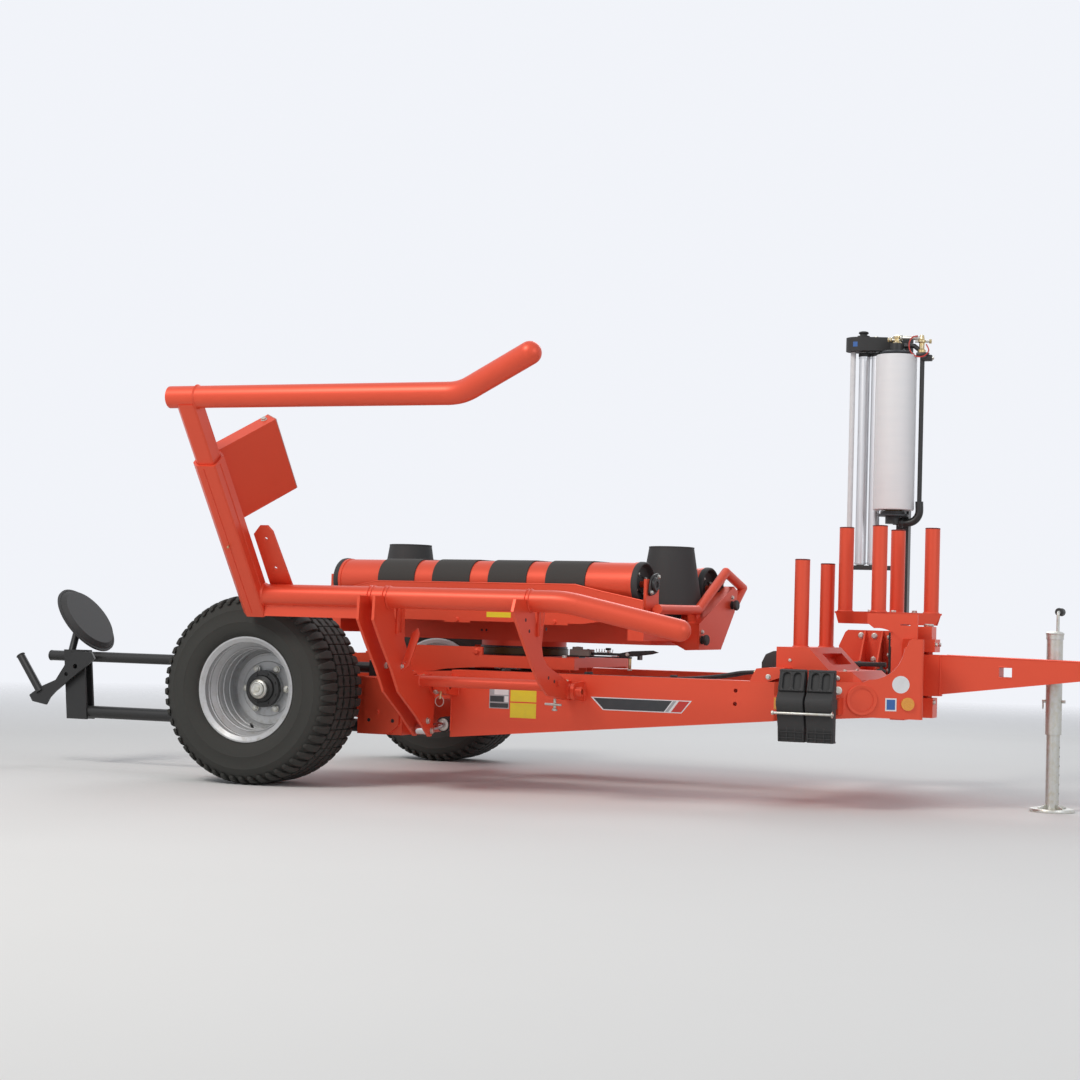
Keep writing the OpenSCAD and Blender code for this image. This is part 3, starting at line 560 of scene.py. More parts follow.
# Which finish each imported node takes; the rest are red
NODE_FINISHES = {
    BLACK: [
        "dispenser_mast", "tipper_frame", "slewing_bearing", "film_cutter", "tilt_cylinder_barrel",
        "arm_cylinder_barrel",
    ],
    PLASTIC: ["tipping_disc", "wheel_chocks", "dispenser_head", "front_guide_cone", "rear_guide_cone"],
    ZINC: ["hitch_eye", "jack_sleeve", "jack_leg"],
    "chromed_rod": ["tilt_cylinder_rod", "arm_cylinder_rod"],
    ALLOY: ["stretch_roller_front", "stretch_roller_rear"],
    SILVER: ["right_rim", "left_rim"],
    "tyre_rubber": ["right_tyre", "left_tyre"],
    "belt_rubber": ["table_belts"],
    "stretch_film": ["film_roll"],
    "amber_lens": ["reflectors"],
}


class WrapperSizes(bpy.types.PropertyGroup):
    """Sizes of the fine pieces."""

    tread_pitches: bpy.props.IntProperty(
        name="Tread pitches", description="Lugs around a tyre's shoulder", default=54, min=40, max=64
    )
    lug_depth: bpy.props.FloatProperty(
        name="Lug depth", description="Height of the tread over the grooves, in millimetres", default=14.0
    )
    bolt_size: bpy.props.FloatProperty(
        name="Bolt size", description="Radius of a common bolt's head, in millimetres", default=13.0
    )


class WrapperColours(bpy.types.PropertyGroup):
    """Colours that a user would change."""

    paint: bpy.props.FloatVectorProperty(
        name="Paint", description="Colour of the painted steel", subtype="COLOR", size=3,
        default=(0.66, 0.010, 0.005), min=0, max=1,
    )
    floor: bpy.props.FloatVectorProperty(
        name="Floor", description="Colour of the studio floor", subtype="COLOR", size=3,
        default=(0.8, 0.8, 0.79), min=0, max=1,
    )


class WRAPPER_OT_camera(bpy.types.Operator):
    """Sets the camera at the photograph's viewing angle"""

    bl_idname = "wrapper.camera"
    bl_label = "Camera"

    def execute(self, context):
        lens, yaw, pitch, roll = 70.0, math.radians(-21.382), math.radians(2.247), math.radians(1.650)
        eye = (Vector((4621.6, -9464.2, 759.9)) - HITCH) / 1000
        ahead = Vector((math.sin(yaw) * math.cos(pitch), math.cos(yaw) * math.cos(pitch), math.sin(pitch)))
        side = ahead.cross(Vector((0, 0, 1))).normalized()
        up = side.cross(ahead)
        right = side * math.cos(roll) + up * math.sin(roll)
        top = -side * math.sin(roll) + up * math.cos(roll)
        data = bpy.data.cameras.new("camera")
        data.lens, data.sensor_width, data.clip_end = lens, 36.0, 200.0
        camera = bpy.data.objects.new("camera", data)
        context.scene.collection.objects.link(camera)
        camera.matrix_world = Matrix.Translation(eye) @ Matrix((right, top, -ahead)).transposed().to_4x4()
        context.scene.camera = camera
        return {"FINISHED"}


class WRAPPER_OT_stage(bpy.types.Operator):
    """Lays the pale floor and hangs the lamps"""

    bl_idname = "wrapper.stage"
    bl_label = "Floor and lamps"

    def execute(self, context):
        scene = context.scene
        scene.view_settings.view_transform = "Standard"
        made = Finish("studio_floor", tuple(scene.wrapper_colours.floor), 0.9)
        made.colour_over(made.between(made.noise(0.8, 3.0), 0.3, 0.7, 0.0, 0.25), (0.76, 0.76, 0.75))
        # The floor thins out into the backdrop, by distance from the machine in metres
        away = made.between(made.node("VectorMath", "Value", {0: made.place}, operation="LENGTH"), 7.0, 15.0)
        clear = made.node("BsdfTransparent", "BSDF", {})
        both = made.node("MixShader", "Shader", {"Fac": away, 1: made.shader.outputs["BSDF"], 2: clear})
        made.feed(made.tree.nodes["Material Output"].inputs["Surface"], both)
        shape = bmesh.new()
        bmesh.ops.create_grid(shape, x_segments=2, y_segments=2, size=60)
        shape.transform(move(0, 0, -HITCH.z / 1000))
        mesh = bpy.data.meshes.new("floor")
        shape.to_mesh(mesh)
        shape.free()
        mesh.materials.append(made.material)
        floor = bpy.data.objects.new("floor", mesh)
        scene.collection.objects.link(floor)

        world = bpy.data.worlds.new("studio")
        scene.world = world
        world.use_nodes = True
        # The backdrop is bright where it is seen, and lights the machine less
        sky = Nodes(world.node_tree)
        seen = sky.node("LightPath", "Is Camera Ray", {})
        for key in ("Is Glossy Ray", "Is Transmission Ray"):
            seen = sky.node("Math", "Value", {0: seen, 1: sky.node("LightPath", key, {})}, operation="MAXIMUM")
        back = sky.tree.nodes["Background"].inputs
        back["Color"].default_value = (0.93, 0.95, 1.0, 1)
        sky.feed(back["Strength"], sky.node("MapRange", "Result", {"Value": seen, "To Min": 0.42, "To Max": 0.95}))

        # Each lamp's place, width, power and colour
        lamps = {
            "key": ((-5.5, -7.5, 6.5), 3.0, 430.0, (1.0, 0.97, 0.92)),
            "side": ((5.0, -5.0, 3.5), 3.0, 90.0, (0.94, 0.97, 1.0)),
            "back": ((-3.0, 7.0, 5.5), 4.0, 170.0, (0.96, 0.98, 1.0)),
        }
        middle = Vector((-2.6, 0.0, 0.3))
        for name, (place, size, power, colour) in lamps.items():
            data = bpy.data.lights.new(name, "AREA")
            data.size, data.energy, data.color = size, power, colour
            lamp = bpy.data.objects.new(name, data)
            scene.collection.objects.link(lamp)
            lamp.matrix_world = Matrix.Translation(place) @ facing(Vector(place) - middle)
        return {"FINISHED"}


class WRAPPER_OT_finishes(bpy.types.Operator):
    """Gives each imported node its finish"""

    bl_idname = "wrapper.finishes"
    bl_label = "Finishes of the frame"

    def execute(self, context):
        named = {node: finish for finish, nodes in NODE_FINISHES.items() for node in nodes}
        for name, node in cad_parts.items():
            node.data.materials.clear()
            node.data.materials.append(finish_of(named.get(name, "red_paint")))
        return {"FINISHED"}


TREAD_RADIUS, TREAD_HALF = 424.0, 195.0
SHOULDER = 0.62


def crown(across):
    """Radius of the tread's surface, by distance from the tyre's middle; it falls off faster past the shoulder."""
    v = min(abs(across) / TREAD_HALF, 1.0)
    return TREAD_RADIUS - 3.0 * v * v - 26.0 * max(0.0, v - SHOULDER) ** 2 / 0.144


def tread_block(outline, depth, pitch_angle, edge=2.5):
    """A tread block: its outline in distance around and across, wrapped on the tyre."""
    solid = plate(outline, depth, edge=0)
    longest = [e for e in solid.edges if e.calc_length() > 30]
    bmesh.ops.subdivide_edges(solid, edges=longest, cuts=2, use_grid_fill=True)
    round_edges(solid, edge, 1, 60)
    for v in solid.verts:
        around, across, height = v.co
        radius = crown(across) - depth + height
        angle = around / TREAD_RADIUS + pitch_angle
        v.co = (radius * math.cos(angle), radius * math.sin(angle), across)
    return solid


class WRAPPER_OT_tyres(bpy.types.Operator):
    """Moulds the two tyres with their tread and sidewalls"""

    bl_idname = "wrapper.tyres"
    bl_label = "Tyres"

    def execute(self, context):
        sizes = context.scene.wrapper_sizes
        count, depth = sizes.tread_pitches, sizes.lug_depth
        pitch = math.tau * TREAD_RADIUS / count
        carcass = [
            (219, 125), (219, 157), (232, 163), (243, 168), (246, 174), (262, 186), (290, 194.6), (297, 195.8),
            (300, 197.4), (303, 195.8), (330, 195.0), (350, 192), (354, 193.2), (358, 190.6), (378, 184), (394, 172),
            (404, 150), (408.5, 120), (410, 60), (410, 0),
        ]
        lining = [(398, 0), (398, 110), (385, 155), (320, 172), (258, 158), (226, 125)]
        # Outlines of the shoulder lug, the next block and the middle block: around, across
        blocks = [
            [(-17, 92), (17, 96), (17, 128), (13, 176), (9, 190), (-9, 190), (-13, 176), (-20, 128)],
            [(-23, 36), (0, 44), (23, 36), (23, 78), (2, 86), (-23, 78)],
            [(-23, -28), (-4, -20), (23, -28), (23, 28), (4, 20), (-23, 28)],
        ]
        for side, axes in WHEELS.items():
            tyre = Piece(f"{side}_tyre_moulded", axes, "tyre_rubber")
            profile = (
                carcass + [(r, -z) for r, z in reversed(carcass[:-1])] + [(r, -z) for r, z in reversed(lining[1:])]
                + lining[0:1] + lining[1:]
            )
            tyre.ring(profile, 108)
            for i in range(count):
                angle = math.tau * i / count
                for n, outline in enumerate(blocks):
                    for mirrored in ([1, -1] if n < 2 else [1]):
                        shift = pitch / 2 if mirrored < 0 and n == 0 else 0
                        points = [(u + shift, v * mirrored) for u, v in outline][::mirrored]
                        tyre.add(tread_block(points, depth, angle))
            tyre.done(f"{side}_wheel", [f"{side}_tyre"])
        return {"FINISHED"}


class WRAPPER_OT_hubs(bpy.types.Operator):
    """Fits hubs, caps, nuts and valves to the wheels"""

    bl_idname = "wrapper.hubs"
    bl_label = "Hubs"

    def execute(self, context):
        flange = [
            (0, -50), (34, -50), (38, -46), (38, -30), (58, -24), (62, -14), (83, -12), (84, -6), (84, 10), (0, 10),
        ]
        cap = [
            (0, -64), (12, -64), (14, -61), (24, -61), (27, -64), (31, -63), (34, -57), (40, -54), (43.5, -50),
            (44, -36), (41, -30), (0, -30),
        ]
        bead = ((0.5, -8), (-3, -5), (-4, 0), (-3, 5), (0.5, 8))
        for side, axes in WHEELS.items():
            hub = Piece(f"{side}_hub_fittings", axes, SILVER)
            hub.knob(flange, 64, BLACK)
            hub.knob(cap, 64, ZINC)
            hub.bolt_circle(Matrix(), 6, 0, move(102, 0, 26) @ FLIP, 14, nut=True)
            hub.bolt_circle(Matrix(), 8, 20, move(70, 0, -12) @ FLIP, 7, BLACK, washer=False)
            hub.add(pipe([(-44, 180, -6), (-43, 172, -14), (-40, 160, -34)], 5.5), HOSE)
            for radius, depth in ((211, -118), (189, -84), (183, -36), (183, 18)):
                hub.ring([(radius + r, depth + z) for r, z in bead], 96)
            hub.ring([(84, 42.2), (84, 39), (122, 39), (126, 42.2)], 96)
            hub.ring([(150, 46), (150, 43), (160, 43), (168, 52), (168, 54)], 96)
            hub.done(f"{side}_wheel")
        return {"FINISHED"}


class WRAPPER_OT_film(bpy.types.Operator):
    """Winds the roll of stretch film on its core"""

    bl_idname = "wrapper.film"
    bl_label = "Film roll"

    def execute(self, context):
        roll = Piece("wound_film_roll", MACHINE @ move(*ROLL, 1350))
        wound = [
            (40.5, 0), (60, 0.6), (84, 0.2), (95.5, 0.5), (97.6, 3), (98, 8), (98, 742), (97.6, 747), (95.5, 749.5),
            (84, 749.2), (62, 749.7), (40.5, 750),
        ]
        roll.knob(wound, 96, "stretch_film")
        roll.ring([(38.1, -6), (40.5, -6), (40.5, 756), (38.1, 756)], 64, "core_cardboard")
        roll.done("film", ["film_roll"])
        return {"FINISHED"}


# The line that a belt follows round a roller
BELT_RADIUS = 97.3


class WRAPPER_OT_belts(bpy.types.Operator):
    """Lays the four belts over the table's rollers"""

    bl_idname = "wrapper.belts"
    bl_label = "Belts"

    def execute(self, context):
        belts = Piece("table_belt_loops", TABLE, "belt_rubber")
        around = []
        for side, start in ((1, -90), (-1, 90)):
            for i in range(25):
                angle = math.radians(start + 7.5 * i)
                middle = Vector((side * ROLLER_Y, ROLLER_Z))
                around.append(middle + BELT_RADIUS * Vector((math.cos(angle), math.sin(angle))))
        # A belt's section: across, and above the line around the rollers
        section = [(-102.5, 0.1), (-102.5, 4.3), (-101, 5.4), (101, 5.4), (102.5, 4.3), (102.5, 0.1)]
        for middle in (-459, -153, 153, 459):
            solid = bmesh.new()
            rings = []
            for n, point in enumerate(around):
                straight = around[(n + 1) % len(around)] - around[n - 1]
                out = Vector((straight.y, -straight.x)).normalized()
                rings.append([solid.verts.new((middle + x, *(point + out * h))) for x, h in section])
            for ring, following in zip(rings, rings[1:] + rings[:1]):
                for k in range(len(section)):
                    solid.faces.new((ring[k - 1], ring[k], following[k], following[k - 1]))
            bmesh.ops.recalc_face_normals(solid, faces=solid.faces)
            belts.add(solid)
        belts.done("table", ["table_belts"])
        return {"FINISHED"}


class WRAPPER_OT_chocks(bpy.types.Operator):
    """Moulds the two wheel chocks in their holder"""

    bl_idname = "wrapper.chocks"
    bl_label = "Wheel chocks"

    def execute(self, context):
        chocks = Piece("moulded_wheel_chocks", MACHINE @ move(2335, -750, 0), PLASTIC)
        body = [
            (0, 287), (-58, 287), (-66, 350), (-86, 404), (-94, 424), (-103, 440), (-105, 456), (-101, 472), (-86, 486),
            (-72, 500), (-46, 586), (-34, 594), (-22, 592), (-18, 520), (-18, 300),
        ]
        skin = [(2, 0), (114, 0), (112, 88), (4, 88)]
        for at in (Matrix(), move(124, 0, 0)):
            chocks.add(plate(body, 116, edge=4), place=at @ ALONG_X)
            slope = at @ move(0, -72, 500) @ turn(73.2, "X")
            chocks.add(plate(skin, 12, [(36, 42, 17, 22), (82, 42, 17, 22)], 2.5), place=slope)
            for z in range(8, 81, 12):
                chocks.box((57, z - 3, 10), (61, z + 3, 14), 1, place=slope)
            for x in (8, 110):
                chocks.box((x - 3, 2, 10), (x + 3, 86, 14), place=slope)
            chocks.box((2, 84, -2), (114, 92, 15), 3, place=slope)
            for x in (6, 40, 76, 110):
                chocks.box((x - 3, -66, 292), (x + 3, -58, 398), place=at)
            for z in (305, 330, 378):
                chocks.box((4, -68 - 0.1 * (z - 300), z - 2), (112, -60, z + 2), 1, place=at)
        chocks.box((0, -18, 430), (240, 0, 470), 2)
        chocks.rod((-20, -98, 409), AHEAD, 6, 268, finish=ZINC)
        chocks.rod((-18, -98, 409), AHEAD, 10, 9, 6, finish=ZINC)
        chocks.ring([(7, 0), (14, 0), (14, 3), (7, 3)], 32, ZINC, on((240, -98, 409), AHEAD))
        chocks.done("chassis", ["wheel_chocks"])
        return {"FINISHED"}


def print_on(piece, x, z, width, height, finish, lift=0.0, slant=(0, 0, 0, 0)):
    """A printed field from its lower left corner; slant moves its four corners along, the lower left first."""
    corners = ((x, z), (x + width, z), (x + width, z + height), (x, z + height))
    outline = [(u + shift, v) for (u, v), shift in zip(corners, slant)]
    piece.add(plate(outline, 0.7, edge=0), finish, move(0, 0, lift), smooth=False)


class WRAPPER_OT_markings(bpy.types.Operator):
    """Sticks the plain stripes and plates on the side"""

    bl_idname = "wrapper.markings"
    bl_label = "Markings"

    def execute(self, context):
        marks = Piece("side_markings", MACHINE @ move(0, -750, 0) @ turn(90, "X"))
        for row in (
            (1529, 384, 355, 56, "white_print", 0, (0, 6, 52, -58)),
            (1533, 388, 277, 48, "dark_print", 0.5, (0, 0, 36, -49)),
            (1816, 388, 14, 48, "grey_print", 0.5, (0, 0, 36, 36)),
            (1842, 388, 46, 48, "red_cable", 0.5, (0, 0, 38, 36)),
            (988, 370, 96, 90, "grey_print"),
            (1012, 432, 68, 24, "white_print", 0.5),
            (992, 400, 66, 26, "dark_print", 0.5),
            (1062, 400, 18, 26, "white_print", 0.5),
            (992, 374, 88, 20, "dark_print", 0.5),
            (1090, 404, 124, 58, "yellow_print"),
            (1090, 332, 124, 66, "yellow_print"),
        ):
            print_on(marks, *row)
        for x in (992, 1080):
            for z in (374, 456):
                marks.rod((x, z, 0.6), UP, 2.2, 1.6, 12, 0.4)
        marks.done("chassis")

        badges = Piece("nose_badges", NOSE @ turn(90, "X"))
        badges.rod((540, 539, 0), UP, 37, 0.8, 64, 0, "white_print")
        print_on(badges, 475, 425, 48, 55, "white_print")
        print_on(badges, 481, 431, 36, 43, "blue_print", 0.5)
        badges.done("chassis")

        label = Piece("guard_label", TABLE @ move(0, -466, 0) @ turn(90, "X"))
        print_on(label, 60, 778, 130, 24, "yellow_print")
        label.done("table")
        return {"FINISHED"}


class WRAPPER_OT_rollers(bpy.types.Operator):
    """Caps the ends of the table's two rollers"""

    bl_idname = "wrapper.rollers"
    bl_label = "Roller caps"

    def execute(self, context):
        rim = [
            (16, 4), (30, 4), (34, 9), (38, 9), (42, 3), (66, 1), (80, 5), (86, 14), (88, 24), (92, 29), (97, 29),
            (101, 24), (102.5, 14), (102.5, 4), (100.5, 0.4), (16, 0.4),
        ]
        for name, side, body in (("near", -1, "near_drum"), ("far", 1, "far_drum")):
            caps = Piece(f"{name}_roller_caps", TABLE, PLASTIC)
            for end in (-1, 1):
                place = on((end * 795, side * ROLLER_Y, ROLLER_Z), (end, 0, 0))
                caps.ring(rim, 96, place=place)
                caps.bolt_circle(place, 4, 30, move(54, 0, 2), 7)
            caps.done(body)
        return {"FINISHED"}


class WRAPPER_OT_table(bpy.types.Operator):
    """Adds the table's bearings, buffers, folded lips and bolts"""

    bl_idname = "wrapper.table"
    bl_label = "Table fittings"

    def execute(self, context):
        size = context.scene.wrapper_sizes.bolt_size
        table = Piece("table_fittings", TABLE, RED)
        quarter = [(66, 0), (63, 10), (54, 17), (34, 32), (12, 41)]
        half = quarter + [(-x, y) for x, y in reversed(quarter)]
        lozenge = half + [(-x, -y) for x, y in half[1:-1]]
        buffer = [(0, 0), (20, 0), (20, 7), (15, 9), (15, 13), (24, 17), (25, 27), (21, 32), (0, 33)]
        for end in (-1, 1):
            out = (end, 0, 0)
            for side in (-1, 1):
                place = on((end * 858, side * ROLLER_Y, ROLLER_Z), out)
                flange = place @ turn(136.2 if end > 0 else 43.8, "Z")
                table.add(plate(lozenge, 10, [(0, 0, 15.4)], 1.5), BLACK, flange)
                table.ring([(15.2, 9), (34, 9), (34, 15), (28, 21), (15.2, 21)], 48, BLACK, place)
                for x in (-50, 50):
                    table.bolt(flange @ move(x, 0, 10), 9)
                table.add(drum(14.6, 13, 32, 1.5), PLASTIC, place @ move(0, 0, 5))
                for y in (-48, 48):
                    table.bolt(place @ move(140 * end, y, 0), size * 0.75)
            for y, z in ((30, 700), (361, 868)):
                table.knob(buffer, 40, HOSE, on((end * 930, y, z), out))
                table.bolts([(end * 930, y + 2, z + 37)], out, 9)
        for side in (-1, 1):
            face, out = side * 464, (0, side, 0)
            lip = [(-868, face, 870), (-560, face, 936), (521, face, 936), (650, face, 909), (868, face, 869)]
            table.add(pipe(lip, 3.6, 10))
            table.bolts([(x, side * 466, 763) for x in (-600, -100, 420)], out, size * 0.8, RED)
            table.bolts([(x, side * 466, 800) for x in (-600, 600)], out, size * 0.8)
            for x in (-119, -93):
                hole = (x, side * 205, 716)
                table.ring([(6, -0.5), (10, -0.5), (10, 1.2), (9, 1.6), (6, 1.2)], 24, place=on(hole, out))
                table.rod(hole, out, 8, 0.9, edge=0, finish=HOSE)
        for end in (-1, 1):
            table.weld((end * 781, -205, 772), (end * 781, 205, 772), 4)
            for y in (-360, -320, 20, 60):
                table.weld((end * 861, y, 742), (end * 861, y, 770), 3)
            table.weld((end * 861, 10, 700), (end * 861, 10, 768), 4)
        table.done("table")

        for name, end, body in (("front", 1, "front_cone"), ("rear", -1, "rear_cone")):
            cone = Piece(f"{name}_cone_rings", TABLE @ move(end * 732, 95, 0), PLASTIC)
            cone.ring([(149, 853), (152, 855), (152.5, 863), (148.5, 866), (146, 856)], 96)
            top = [(104, 1129), (107.6, 1127), (107, 1133), (101, 1134), (30, 1134), (30, 1130.5), (98, 1130.5)]
            cone.ring(top, 96)
            cone.ring([(54, 786), (60, 787), (60, 793), (54, 794)], 64)
            cone.done(body)
        return {"FINISHED"}


class WRAPPER_OT_drive(bpy.types.Operator):
    """Hangs the table's motor, its hoses and the film cutter's fittings on the tilting frame"""

    bl_idname = "wrapper.drive"
    bl_label = "Table drive and cutter"

    def execute(self, context):
        size = context.scene.wrapper_sizes.bolt_size
        drive = Piece("table_drive")
        shaft = move(980, -225, 0)
        gearbox = [(0, 0), (78, 0), (82, 3), (82, 16), (62, 20), (60, 58), (54, 64), (0, 64)]
        drive.knob(gearbox, 64, BLACK, shaft @ move(0, 0, 584.5) @ FLIP)
        drive.add(block((938, -267, 440), (1022, -183, 521), 7, 3), BLACK)
        drive.rod((980, -225, 420), UP, 34, 22, 40, 3, BLACK)
        drive.bolts([(x, y, 440) for x in (950, 1010) for y in (-255, -195)], DOWN, 9)
        drive.bolt_circle(shaft @ move(0, 0, 568), 6, 0, move(70, 0, 0) @ FLIP, 8)
        for y, lane in ((-245, -300), (-205, -324)):
            drive.rod((1022, y, 480), AHEAD, 13, 16, 6)
            drive.rod((1037, y, 480), AHEAD, 11, 16, 24, 2, BRASS)
            drive.rod((1050, y, 480), AHEAD, 12.5, 20, 24, 2)
            run = [
                (1066, y, 480), (1092, y - 20, 484), (1096, lane, 506), (1040, lane, 524), (880, lane, 528),
                (480, lane, 528), (300, lane, 534),
            ]
            drive.hose(run, 9.5)
            drive.rod((306, lane, 533.5), BACK, 12.5, 42, 24, 2)
            drive.rod((270, lane, 533.5), BACK, 14, 14, 6)
        drive.box((270, -345, 512), (281, -272, 600), 2, RED)
        for x in (480, 860):
            drive.box((x - 16, -360, 539), (x + 16, -286, 545), 1)
            drive.box((x - 12, -338, 514), (x + 12, -287, 541), 5, PLASTIC)
        # The slewing ring's bolts and its greased teeth
        drive.bolt_circle(move(850, 0, 601), 12, 0, move(190, 0, -17) @ FLIP, 8)
        drive.ring([(209, 604), (215, 606), (215, 634), (209, 637)], 120, "greased_steel", move(850, 0, 0))
        drive.bolts([(x, y, 600) for x in (1205, 300) for y in (-385, 385)], UP, size)
        for s in (-1, 1):
            drive.weld((1181, s * 340, 601), (1259, s * 340, 601), 3.5)
            drive.bolts([(x, s * 400, 615) for x in (430, 770)], (0, s, 0), size, RED)
        drive.done("tilting_frame")

        cutter = Piece("cutter_fittings")
        cutter.box((1204, -322, 611), (1300, -238, 641), 4, "cast_metal")
        cutter.box((1214, -312, 640), (1262, -292, 652), 3, "cast_metal")
        cutter.rod((1230, -262, 632), UP, 16, 18, 32, 2, "cast_metal")
        cutter.bolts([(1222, -262, 648), (1246, -300, 648), (1272, -252, 638)], UP, 7, washer=False)
        tongue = [(1250, -300), (1480, -296), (1500, -284), (1480, -262), (1250, -258)]
        cutter.add(plate(tongue, 6, [(1300, -280, 8), (1400, -280, 8)]), BLACK, move(0, 0, 606))
        blade = [(1440, 606), (1600, 628), (1632, 637), (1604, 646), (1500, 640), (1440, 628)]
        cutter.add(plate(blade, 7, [(1480, 624, 6)]), BLACK, move(0, -290, 0) @ turn(90, "X"))
        cutter.rod((1488, -280, 554), UP, 7, 52, 20, finish=BRASS)
        cutter.rod((1488, -280, 550), UP, 11, 6)
        cutter.bolts([(1480, -297, 624)], NEAR, 8)
        cutter.bolts([(1300, -280, 611)], UP, 9)
        cutter.rod((1381, -280, 627), UP, 5, 20, 16, 0.8)
        cutter.rod((1381, -280, 640), UP, 13, 11, 32, 3, PLASTIC)
        spring = [(1320 + 1.9 * i, -280 + 9 * math.cos(i * 0.9), 636 + 9 * math.sin(i * 0.9)) for i in range(44)]
        cutter.add(pipe(spring, 1.6, 8))
        cutter.done("tilting_frame")
        return {"FINISHED"}


class WRAPPER_OT_head(bpy.types.Operator):
    """Fits the dispenser's head, catch, gears and bolts"""

    bl_idname = "wrapper.head"
    bl_label = "Film dispenser fittings"

    def execute(self, context):
        head = Piece("dispenser_fittings")
        roll = move(*ROLL, 0)
        # The catch that holds the roll's upper core
        catch = [
            (0, 2155), (20, 2155), (22, 2158), (22, 2164), (14, 2168), (14, 2182), (18, 2185), (18, 2194), (8, 2199),
            (0, 2199),
        ]
        head.knob(catch, 40, BRASS, roll)
        head.rod((2470, 576, 2176), AHEAD, 7, 60, 24, 2)
        for x in (2472, 2484):
            head.rod((x, 576, 2176), AHEAD, 12, 8, 8, 2, BRASS)
        head.rod((2538, 580, 2186), (1, 0, -0.04), 10, 100, 32, 2)
        head.rod((2532, 580, 2186), AHEAD, 15, 10, 32, 2)
        plunger = [
            (0, 2106), (15, 2106), (20, 2112), (20, 2124), (13, 2130), (13, 2158), (20, 2162), (20, 2170), (13, 2176),
            (10, 2196), (0, 2198),
        ]
        head.knob(plunger, 40, BRASS, move(2636, 580, 0))
        head.rod((2604, 572, 2166), (1, 0.2, 0), 6, 76, 20, 1.5)
        head.rod((2670, 585, 2166), (1, 0.2, 0), 11, 12, 6, finish=BRASS)
        head.box((2612, 562, 2092), (2672, 598, 2112), 4, BLACK)
        head.box((2640, 564, 2070), (2688, 596, 2100), 5, BLACK)
        head.bolts([(2688, 580, 2085)], AHEAD, 9)
        cable = [
            (2618, 566, 2192), (2592, 556, 2182), (2580, 550, 2148), (2590, 548, 2112), (2618, 548, 2090),
            (2654, 550, 2092), (2674, 556, 2118), (2660, 566, 2150),
        ]
        head.hose(cable, 3.2, 10, "red_cable")
        head.ring([(10.1, 1084), (13, 1084), (13, 2128), (10.1, 2128)], 40, "white_print", move(2286, 650, 0))
        # The lower elbow and its bolt
        elbow = [(2552, 580, 1290), (2592, 580, 1290), (2622, 580, 1304), (2640, 580, 1336), (2640, 580, 1392)]
        head.hose(elbow, 19, 24, BLACK)
        hinge = [(0, -10), (19, -10), (24, -4), (24, 8), (19, 12), (0, 12)]
        head.knob(hinge, 40, BLACK, on((2556, 580, 1290), BACK))
        head.bolts([(2546, 580, 1290)], BACK, 10)
        for z in (1322, 2110):
            seat = [(39, z - 3), (72, z - 3), (75, z), (75, z + 6), (70, z + 9), (39, z + 9)]
            head.ring(seat, 64, "dark_print", roll)
        # The head's knob, plate and bolts
        knob = [(0, 2218), (22, 2218), (25, 2222), (22, 2228), (12, 2231), (0, 2231)]
        head.knob(knob, 40, PLASTIC, move(2335, 650, 0))
        head.bolts([(2395, 662, 2196), (2470, 700, 2196)], UP, 12)
        head.bolts([(2290, 640, 2196)], UP, 9)
        sign = [(2300, 2148), (2322, 2148), (2322, 2172), (2300, 2172)]
        head.add(plate(sign, 0.8, edge=0), "blue_print", move(0, 577.6, 0) @ turn(90, "X"))
        collar = [(8.6, 0), (17, 0), (19, 1.5), (19, 3), (17, 4.4), (8.6, 4.4)]
        for x in (2342, 2404):
            for z in (1082.2, 2125.4):
                head.ring(collar, 32, place=move(x, 656, z))
        # The mast's base
        head.bolts([(2500, y, z) for z in (575, 650, 735) for y in (628, 730)], BACK, 11)
        head.bolts([(2568, 710, 660), (2568, 710, 600)], AHEAD, 12)
        head.done("chassis")

        for x, body, start in ((2404, "stretch_front", 0.0), (2342, "stretch_rear", 9.0)):
            gear = Piece(f"{body}_gear", MACHINE @ move(x, 656, 2106), PLASTIC)
            gear.ring([(26.5, 0), (28, 0), (28.4, 1), (28.4, 17), (28, 18), (26.5, 18)])
            for i in range(20):
                gear.box((27, -2.2, 1), (30.4, 2.2, 17), 0.8, place=turn(18 * i + start, "Z"))
            for z in (-1014, -10):
                gear.ring([(26.8, z), (29.5, z), (29.5, z + 6), (26.8, z + 6)], 48, ALLOY)
            gear.done(body)
        return {"FINISHED"}


